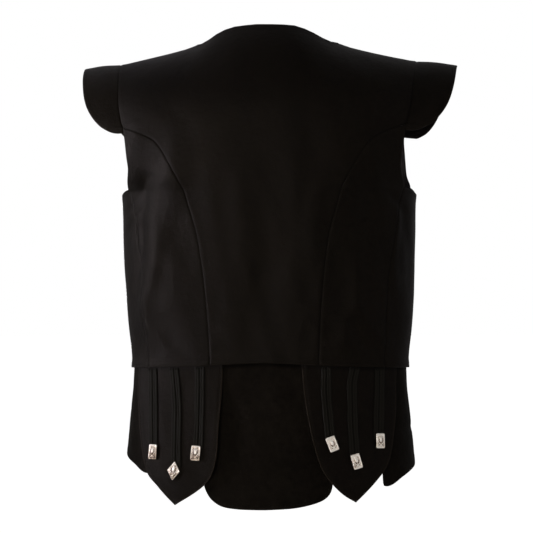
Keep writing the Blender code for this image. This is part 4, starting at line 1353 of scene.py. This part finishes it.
def make_braid(braid, label, side):
    """Doubled ribbed braid with its plait, sewn flat on the tash from the waist seam to its button."""
    top = spot_place(braid.spots[0])[1] - BRAID_UNDER_SEAM
    drops = [0.0] + [top - spot.height for spot in braid.spots[1:]]
    down = np.linspace(0, drops[-1], int(drops[-1] / BRAID_STEP))
    run, u = np.meshgrid(down, np.linspace(-1, 1, BRAID_LINES), indexing="ij")
    plait = np.abs(np.sin(math.pi * (run / PLAIT_PITCH + np.abs(np.abs(u) - 0.5) * PLAIT_SLANT)))
    ribs = [Rib(-rib.share, rib.rise) for rib in BRAID_HALF_RIBS[:0:-1]] + BRAID_HALF_RIBS
    rise = smooth_values(column(ribs, "share"), column(ribs, "rise"), u)
    under = 1 - BRAID_SUNK_SHARE * (1 - smooth_step(0, BRAID_SEAM_FADE, run))
    rise = rise * under + PLAIT_RISE * (plait - 0.5) * smooth_step(*PLAIT_REACH, rise)
    middle = smooth_values(drops, column(braid.spots, "x"), run)
    width = BRAID_WIDTH * (1 + BRAID_WAVER * np.sin(run / BRAID_WAVER_PITCH + middle))
    points = tash_points(middle + u * width / 2, top - run, rise, side, "tash_" + label)
    # Painted light and shade: the braid is lighter on its high ribs and on the raised parts of the plait,
    # darker in its grooves
    lit = plait * PLAIT_SHADE + 1 - PLAIT_SHADE
    bright = np.clip(lit * rise / BRAID_BRIGHT_RISE, 0, 1) ** 2
    node = "braid_" + label + "_" + braid.name
    charts = np.stack([u * BRAID_WIDTH / 2, run], axis=-1)
    piece = grid_piece(node + "_plaited", points, charts, {"plait": bright})
    face_outwards(piece, np.array([0.0, 1.0, 0.0]))
    thicken(piece, BRAID_WALL)
    bpy.ops.object.shade_smooth()
    finish_piece(piece, [node], braid_material())


def button_outline(shape, count):
    """Points round a button, each corner an arc, counter-clockwise from the middle of the right side."""
    w, h = BUTTON_SIZE[shape][0] / 2, BUTTON_SIZE[shape][1] / 2
    corners = [(w, -h), (w, h), (-w, h), (-w, -h)]
    if shape == "diamond":
        corners = [(w, 0), (0, h), (-w, 0), (0, -h)]
    line = []
    for k in range(4):
        before, here, after = (Vector(corners[i % 4]) for i in (k - 1, k, k + 1))
        into, away = (here - before).normalized(), (after - here).normalized()
        half = math.acos(max(-1.0, min(1.0, into.dot(away)))) / 2
        centre = here + (away - into).normalized() * (BUTTON_CORNER[shape] / math.cos(half))
        start = math.atan2(-into.x, into.y)
        for step in range(BUTTON_CORNER_STEPS + 1):
            angle = start + 2 * half * step / BUTTON_CORNER_STEPS
            line.append(centre + Vector((math.cos(angle), math.sin(angle))) * BUTTON_CORNER[shape])
    line = np.array([tuple(p) for p in line + line[:1]])
    run = length_run(line)
    goal = np.linspace(0, run[-1], count + 1)[:-1]
    return points_at(goal, run, line), goal


def stroke_distance(x, y, stroke):
    """Distance of points from the middle line of a stroke."""
    across, up = stroke.x1 - stroke.x0, stroke.y1 - stroke.y0
    share = ((x - stroke.x0) * across + (y - stroke.y0) * up) / (across ** 2 + up ** 2)
    share = np.clip(share, 0, 1)
    return np.hypot(x - stroke.x0 - share * across, y - stroke.y0 - share * up)


def button_relief(x, y, inset, run):
    """Height and brightness of the button's face: a crown, a roped border and the thistle, with painted
    shade low on the face.
    """
    strands = np.abs(np.sin(math.pi * (run / ROPE_PITCH + inset / ROPE_SLANT)))
    rope = ROPE_RISE * bump(inset, ROPE_PLACE, ROPE_WIDTH) * (0.5 + 0.5 * strands)
    figure, foot = np.zeros_like(x), np.zeros_like(x)
    for stroke in THISTLE:
        for side in (1, -1):
            away = stroke_distance(x * side, y, stroke) / stroke.width
            figure = np.maximum(figure, stroke.rise * (1 - smooth_step(*STROKE_EDGE, away)))
            foot = np.maximum(foot, bump(away, STROKE_FOOT, STROKE_FOOT_WIDTH))
    hatch = np.sin((x + y) * HATCH_TURN) * np.sin((x - y) * HATCH_TURN)
    hatch = HATCH_RISE * hatch * bump(np.hypot(x, y - HATCH_HEIGHT), 0, HATCH_REACH)
    inside = smooth_step(*FIGURE_INSIDE, inset)
    height = CROWN_RISE * smooth_step(*CROWN_REACH, inset) + rope + (figure + hatch) * inside
    height = height - RIM_ROUND * bump(inset, 0, RIM_ROUND_WIDTH)
    groove = GROOVE_DEPTH * bump(inset, GROOVE_PLACE, GROOVE_WIDTH)
    # For the buttons this mark is the patina in the feet of the strokes and in the groove
    hollow = np.maximum(foot * inside * (1 - smooth_step(*FIGURE_CLEAR, figure)), groove)
    soot = SOOT.depth * bump(x, SOOT.x, SOOT.width) * bump(y, SOOT.y, SOOT.height)
    bright = SILVER_GROUND + SILVER_ON_FIGURE * figure + SILVER_ON_ROPE * rope - SILVER_IN_HOLLOW * hollow
    # Painted shade darkens the lower part of the face
    return height, bright - SILVER_PAINTED_SHADE_LOW * smooth_step(*SILVER_PAINTED_SHADE_REACH, y) - soot


def make_button(name, shape, seat, normal, lean, polish_and_reflection):
    """Cast button with a roped rim and a raised thistle, its seat the middle of its back."""
    outline, run = button_outline(shape, BUTTON_POINTS)
    share = 1 - np.linspace(0, 1, BUTTON_RINGS + 1)[:-1, None] ** BUTTON_RING_CROWD
    x, y = outline[:, 0] * share, outline[:, 1] * share
    inset = (1 - share) * min(BUTTON_SIZE[shape]) / 2
    height, bright = button_relief(x, y, inset, run)
    # Painted reflection and shade on the tash buttons; on the front ones, each button's own brightness
    bright = np.clip(bright + polish_and_reflection, 0, 1)
    rings = [
        (outline * size, np.full(BUTTON_POINTS, level), np.full(BUTTON_POINTS, tone))
        for size, level, tone in BUTTON_BACK
    ]
    rings += [(outline * size, BUTTON_FACE + up, tone) for size, up, tone in zip(share, height, bright)]
    rings.append((outline * 0, np.full(BUTTON_POINTS, BUTTON_FACE + height[-1].mean()), bright[-1]))
    local = np.array([np.column_stack([flat, level]) for flat, level, tone in rings])
    tones = np.array([tone for flat, level, tone in rings])
    local = np.concatenate([local, local[:, :1]], axis=1)
    tones = np.concatenate([tones, tones[:, :1]], axis=1)
    axes = button_axes(normal, lean)
    piece = grid_piece(name + "_cast", seat + local @ axes, local[..., :2], {"relief": tones})
    merge_doubles(piece)
    face_outwards(piece, unit(vertex_points(piece) - seat - axes[2] * BUTTON_FACE / 2))
    bpy.ops.object.shade_smooth_by_angle(angle=math.radians(BUTTON_SMOOTH_ANGLE))
    finish_piece(piece, [name], silver_material())


def button_axes(normal, lean):
    """Directions across, along and out of a button that leans in the plane of its seat."""
    up = unit(np.array([0.0, 0.0, 1.0]) - normal * normal[2])
    right = unit(np.cross(up, normal))
    tilt = math.radians(lean)
    across = right * math.cos(tilt) + up * math.sin(tilt)
    along = up * math.cos(tilt) - right * math.sin(tilt)
    return np.array([across, along, normal])


def make_tash_buttons(label, side):
    """The three silver buttons at the braids' lower ends."""
    for button in TASH_BUTTONS[label]:
        seat = tash_points(button.x, button.height, BUTTON_LIFT, side, "tash_" + label)
        normal = form_normals(turn_of(button.x, button.height), np.array(button.height, float), side)
        key = label + "_" + button.name
        make_button("button_" + key, button.shape, seat, normal, button.lean, BUTTON_PAINTED_REFLECTION[key])


def front_button_heights():
    """Heights of the front buttons."""
    return np.linspace(FRONT_BUTTON_TOP, FRONT_BUTTON_FOOT, FRONT_BUTTONS)


def make_front_buttons():
    """Oblong buttons down the centre front, sewn on the upper front."""
    for k, height in enumerate(front_button_heights()):
        seat = form_points(math.pi, height, FRONT_BUTTON_LIFT)
        normal = form_normals(np.array(math.pi), np.array(height))
        make_button("button_front_" + str(k + 1), "oblong", seat, normal, 0.0, FRONT_BUTTON_POLISH[k])


# Sewing

def stitch_shape(stitch):
    """Points and faces of one stitch along X, made from a sphere and drawn out."""
    deselect()
    bpy.ops.mesh.primitive_uv_sphere_add(segments=STITCH_SIDES, ring_count=STITCH_RINGS, radius=0.5)
    ball = bpy.context.object
    points = np.array([tuple(v.co) for v in ball.data.vertices])
    faces = [list(f.vertices) for f in ball.data.polygons]
    bpy.data.objects.remove(ball)
    points = points[:, [2, 0, 1]]
    points[:, 0] = signed_power(points[:, 0] * 2, STITCH_BLUNTNESS) / 2
    return points * (stitch.length, stitch.width, stitch.height), faces


def inset_line(cloth, edge):
    """Points and normals on a cloth, a given distance inside one of its edges."""
    ahead = unit(np.gradient(edge.line, axis=0))
    kept, normals = [], []
    for point, way, normal in zip(edge.line, ahead, edge.normals):
        inward = unit(np.cross(normal, way))
        found = []
        for sign in (1, -1):
            on, out, _, gap = cloth.tree.find_nearest(Vector(point + inward * edge.inset * sign))
            found.append((gap, tuple(on), tuple(out)))
        gap, on, out = min(found)
        if gap < STITCH_REACH:
            kept.append(on)
            normals.append(out)
    kept, normals = np.reshape(kept, (-1, 3)), np.reshape(normals, (-1, 3))
    good = np.ones(len(kept), bool)
    for other in cloth.edges:
        if other.kind == "turned":
            good &= distance_to(kept, other.line) > edge.inset * STITCH_CLEAR_SHARE
    return kept[good], normals[good]


def stitch_row(cloth, edge, stitch, shape):
    """Points of each stitch of the rows along one edge."""
    line, normals = inset_line(cloth, edge)
    breaks = np.where(np.linalg.norm(np.diff(line, axis=0), axis=1) > STITCH_ROW_BREAK)[0] + 1
    rows = [np.empty((0, len(shape), 3))]
    for part in np.split(np.arange(len(line)), breaks):
        if len(part) < STITCH_ROW_LEAST:
            continue
        points = line[part]
        run = length_run(points)
        goal = np.arange(stitch.pitch, run[-1] - stitch.pitch, stitch.pitch)
        centre = points_at(goal, run, points)
        ahead = points_at(goal + 1, run, points) - centre
        up = unit(points_at(goal, run, normals[part]))
        along = unit(ahead - up * (ahead * up).sum(1)[:, None])
        axes = np.stack([along, np.cross(up, along), up], axis=1)
        rows.append((centre + up * STITCH_RISE)[:, None] + shape @ axes)
    return np.concatenate(rows)


def make_stitches(name, cloth):
    """All the edge stitches of one cloth as one piece."""
    shape, faces = stitch_shape(EDGE_STITCH)
    rows = [stitch_row(cloth, edge, EDGE_STITCH, shape) for edge in cloth.edges if edge.inset]
    stitches = np.concatenate(rows)
    if not len(stitches):
        raise RuntimeError("no stitches on " + name)
    many = [[k * len(shape) + v for v in face] for k in range(len(stitches)) for face in faces]
    mesh = bpy.data.meshes.new("stitches_" + name)
    mesh.from_pydata([tuple(p) for p in stitches.reshape(-1, 3) * MM], [], many)
    mesh.shade_smooth()
    piece = bpy.data.objects.new("stitches_" + name, mesh)
    bpy.context.scene.collection.objects.link(piece)
    finish_piece(piece, [], thread_material())


def make_buttonholes():
    """Worked buttonholes behind the front buttons, each a ring of thread laid on the cloth."""
    cloth = BUILT["front_left"]
    for k, height in enumerate(front_button_heights()):
        deselect()
        bpy.ops.mesh.primitive_torus_add(
            major_segments=HOLE_TURNS, minor_segments=HOLE_THREAD_SIDES,
            major_radius=MM, minor_radius=HOLE_THREAD * MM,
        )
        piece = bpy.context.object
        piece.name = "buttonhole_" + str(k + 1)
        ring = vertex_points(piece)
        angle = np.arctan2(ring[:, 1], ring[:, 0])
        turns = np.round(angle * HOLE_TURNS / math.tau)
        knot = 1 + HOLE_KNOT * (turns % 2)
        x = HOLE_PLACE + HOLE_LENGTH / 2 * signed_power(np.cos(angle), HOLE_END_BLUNTNESS)
        z = height + HOLE_WIDTH / 2 * signed_power(np.sin(angle), HOLE_SIDE_BLUNTNESS)
        seeds = form_points(turn_of(x, z, True), z, HOLE_SEED_LIFT)
        ways = unit(np.stack([x - HOLE_PLACE, 0 * x, (z - height) * HOLE_SIDE_WEIGHT], axis=1))
        away = (np.hypot(ring[:, 0], ring[:, 1]) - 1) * knot
        points = []
        for seed, way, off, rise in zip(seeds, ways, away, ring[:, 2] * knot + HOLE_RISE):
            on, out = cloth.tree.find_nearest(Vector(seed))[:2]
            points.append(np.array(on) + np.array(out) * rise + way * off)
        move_points(piece, points)
        edit_whole(piece, bpy.ops.mesh.normals_make_consistent, inside=False)
        bpy.ops.object.shade_smooth()
        finish_piece(piece, [], thread_material())


# Stage

def make_floor():
    """Plain pale floor, well below the hem."""
    deselect()
    bpy.ops.mesh.primitive_plane_add(size=FLOOR_SIZE, location=(0, 0, FLOOR_HEIGHT))
    floor = bpy.context.object
    floor.name = "floor"
    material, shader, node = new_material("pale floor")
    grain = noise(node, node("ShaderNodeTexCoord").outputs["Object"], scale=40.0, detail=3.0)
    base = mixed(node, (*[FLOOR_TONES[0]] * 3, 1.0), (*[FLOOR_TONES[1]] * 3, 1.0), grain)
    material.node_tree.links.new(base, shader.inputs["Base Color"])
    shader.inputs["Roughness"].default_value = FLOOR_ROUGHNESS
    ray = node("ShaderNodeLightPath")
    material.node_tree.links.new(base, shader.inputs["Emission Color"])
    material.node_tree.links.new(ray.outputs["Is Camera Ray"], shader.inputs["Emission Strength"])
    floor.data.materials.append(material)


def make_world(settings):
    """White surroundings for the camera and for reflections, softer ones for the light on the cloth."""
    world = bpy.data.worlds.new("studio")
    bpy.context.scene.world = world
    world.use_nodes = True
    world.node_tree.nodes.clear()
    node = node_adder(world.node_tree)
    seen = node("ShaderNodeBackground", {"Color": (1, 1, 1, 1)})
    lit = node("ShaderNodeBackground", {"Color": ROOM_COLOUR, "Strength": settings.room_light})
    ray = node("ShaderNodeLightPath").outputs
    bright = worked_out(
        node, "MULTIPLY_ADD", ray["Is Glossy Ray"], settings.mirror_light, ray["Is Camera Ray"],
    )
    mix = node("ShaderNodeMixShader", {0: bright, 1: lit.outputs[0], 2: seen.outputs[0]})
    node("ShaderNodeOutputWorld", {"Surface": mix.outputs[0]})


def make_lamps(settings):
    """Soft lamps: a key at the picture's left, others by the camera, at its right and in front."""
    for lamp in LAMPS:
        deselect()
        bpy.ops.object.light_add(type="AREA", location=lamp.place)
        light = bpy.context.object
        light.name = "lamp_" + lamp.name
        light.data.size = lamp.size
        light.data.spread = math.radians(lamp.spread)
        light.data.energy = lamp.power * settings.lamp_light
        light.data.color = lamp.colour
        way = Vector(lamp.aim) - Vector(lamp.place)
        light.rotation_euler = way.to_track_quat("-Z", "Y").to_euler()


def make_camera():
    """Camera at the photograph's angle and distance."""
    place, aim = Vector(CAMERA_PLACE), Vector(CAMERA_AIM)
    deselect()
    bpy.ops.object.camera_add(location=place)
    camera = bpy.context.object
    camera.name = "camera"
    turn = (aim - place).to_track_quat("-Z", "Y").to_matrix()
    roll = Matrix.Rotation(math.radians(CAMERA_ROLL), 3, "Z")
    camera.rotation_euler = (turn @ roll).to_euler()
    camera.data.sensor_width = CAMERA_SENSOR
    camera.data.lens = CAMERA_LENS
    camera.data.clip_end = CAMERA_SIGHT
    bpy.context.scene.camera = camera


# Add-on

class WaistcoatSettings(bpy.types.PropertyGroup):
    """Sizes and colours that a user would change."""

    cloth_colour: bpy.props.FloatVectorProperty(
        name="Cloth colour", description="Colour of the barathea", subtype="COLOR",
        default=(0.0021, 0.00155, 0.0010),
    )
    tash_colour: bpy.props.FloatVectorProperty(
        name="Tash colour", description="Colour of the tashes' cloth", subtype="COLOR",
        default=(0.0022, 0.0016, 0.0011),
    )
    braid_colour: bpy.props.FloatVectorProperty(
        name="Braid colour", description="Colour of the ribbed braid", subtype="COLOR",
        default=(0.0084, 0.0073, 0.0057),
    )
    silver_colour: bpy.props.FloatVectorProperty(
        name="Silver colour", description="Colour of the buttons' high places", subtype="COLOR",
        default=(1.0, 0.95, 0.89),
    )
    toned_colour: bpy.props.FloatVectorProperty(
        name="Toned silver colour", description="Colour of the buttons' half-bright places",
        subtype="COLOR", default=(0.60, 0.46, 0.35),
    )
    # Colour of the patina in the hollows, and of the painted shade on the buttons
    tarnish_and_shade_colour: bpy.props.FloatVectorProperty(
        name="Tarnish colour", description="Colour of the buttons' hollows", subtype="COLOR",
        default=(0.07, 0.04, 0.022),
    )
    weave_pitch: bpy.props.FloatProperty(
        name="Weave pitch", description="Width of one rib of the weave", unit="LENGTH", default=0.0009,
    )
    sheen: bpy.props.FloatProperty(
        name="Sheen", description="Strength of the cloth's nap in grazing light", default=0.015,
    )
    crease_depth: bpy.props.FloatProperty(
        name="Crease depth", description="How deep the soft creases are", default=1.0,
    )
    room_light: bpy.props.FloatProperty(
        name="Room light", description="Strength of the light from all round", default=0.13,
    )
    mirror_light: bpy.props.FloatProperty(
        name="Mirror light", description="Strength of the white room in reflections", default=0.20,
    )
    lamp_light: bpy.props.FloatProperty(
        name="Lamp light", description="Strength of the soft lamps", default=1.0,
    )


class WAISTCOAT_OT_back(bpy.types.Operator):
    """Builds the centre back and the side backs"""

    bl_idname = "waistcoat.back"
    bl_label = "Back"

    def execute(self, context):
        make_back_centre()
        make_back_side("left", 1)
        make_back_side("right", -1)
        return {"FINISHED"}


class WAISTCOAT_OT_fronts(bpy.types.Operator):
    """Builds the two fronts"""

    bl_idname = "waistcoat.fronts"
    bl_label = "Fronts"

    def execute(self, context):
        make_front("left", 1, on_form)
        make_front("right", -1, right_lap_lift)
        return {"FINISHED"}


class WAISTCOAT_OT_wings(bpy.types.Operator):
    """Builds the wings over the shoulders"""

    bl_idname = "waistcoat.wings"
    bl_label = "Wings"

    def execute(self, context):
        make_wing("left", 1)
        make_wing("right", -1)
        return {"FINISHED"}


class WAISTCOAT_OT_skirts(bpy.types.Operator):
    """Builds the back skirt and the side skirts"""

    bl_idname = "waistcoat.skirts"
    bl_label = "Skirts"

    def execute(self, context):
        make_back_skirt()
        make_side_skirt("left", 1)
        make_side_skirt("right", -1)
        return {"FINISHED"}


class WAISTCOAT_OT_tashes(bpy.types.Operator):
    """Builds the tashes with their braids"""

    bl_idname = "waistcoat.tashes"
    bl_label = "Tashes and braids"

    def execute(self, context):
        for label, side in (("left", 1), ("right", -1)):
            make_tash(label, side)
            for braid in BRAIDS[label]:
                make_braid(braid, label, side)
        return {"FINISHED"}


class WAISTCOAT_OT_buttons(bpy.types.Operator):
    """Builds the silver buttons of the tashes and of the front"""

    bl_idname = "waistcoat.buttons"
    bl_label = "Buttons"

    def execute(self, context):
        make_tash_buttons("left", 1)
        make_tash_buttons("right", -1)
        make_front_buttons()
        return {"FINISHED"}


class WAISTCOAT_OT_sewing(bpy.types.Operator):
    """Sews the edges with rows of stitches and works the buttonholes"""

    bl_idname = "waistcoat.sewing"
    bl_label = "Sewing"

    def execute(self, context):
        if not BUILT:
            raise RuntimeError("the cloth has to be built before it is sewn")
        for name, cloth in BUILT.items():
            make_stitches(name, cloth)
        make_buttonholes()
        return {"FINISHED"}


class WAISTCOAT_OT_stage(bpy.types.Operator):
    """Sets the floor, the light and the camera"""

    bl_idname = "waistcoat.stage"
    bl_label = "Stage"

    def execute(self, context):
        settings = context.scene.waistcoat
        make_floor()
        make_world(settings)
        make_lamps(settings)
        make_camera()
        context.scene.view_settings.view_transform = "Standard"
        return {"FINISHED"}


OPERATORS = (
    WAISTCOAT_OT_back, WAISTCOAT_OT_fronts, WAISTCOAT_OT_wings, WAISTCOAT_OT_skirts, WAISTCOAT_OT_tashes,
    WAISTCOAT_OT_buttons, WAISTCOAT_OT_sewing, WAISTCOAT_OT_stage,
)


class WAISTCOAT_PT_panel(bpy.types.Panel):
    """Lists the waistcoat's settings and its operators"""

    bl_label = "Waistcoat"
    bl_space_type = "VIEW_3D"
    bl_region_type = "UI"
    bl_category = "Waistcoat"

    def draw(self, context):
        for name in WaistcoatSettings.__annotations__:
            self.layout.prop(context.scene.waistcoat, name)
        for operator in OPERATORS:
            self.layout.operator(operator.bl_idname)


CLASSES = (WaistcoatSettings, *OPERATORS, WAISTCOAT_PT_panel)


def register():
    """Registers the settings, the operators and the panel."""
    for cls in CLASSES:
        bpy.utils.register_class(cls)
    bpy.types.Scene.waistcoat = bpy.props.PointerProperty(type=WaistcoatSettings)


def unregister():
    """Takes the settings, the operators and the panel out again."""
    del bpy.types.Scene.waistcoat
    for cls in reversed(CLASSES):
        bpy.utils.unregister_class(cls)


def main():
    """Builds the waistcoat by its operators."""
    register()
    bpy.ops.waistcoat.back()
    bpy.ops.waistcoat.fronts()
    bpy.ops.waistcoat.wings()
    bpy.ops.waistcoat.skirts()
    bpy.ops.waistcoat.tashes()
    bpy.ops.waistcoat.buttons()
    bpy.ops.waistcoat.sewing()
    bpy.ops.waistcoat.stage()


if __name__ == "__main__":
    main()
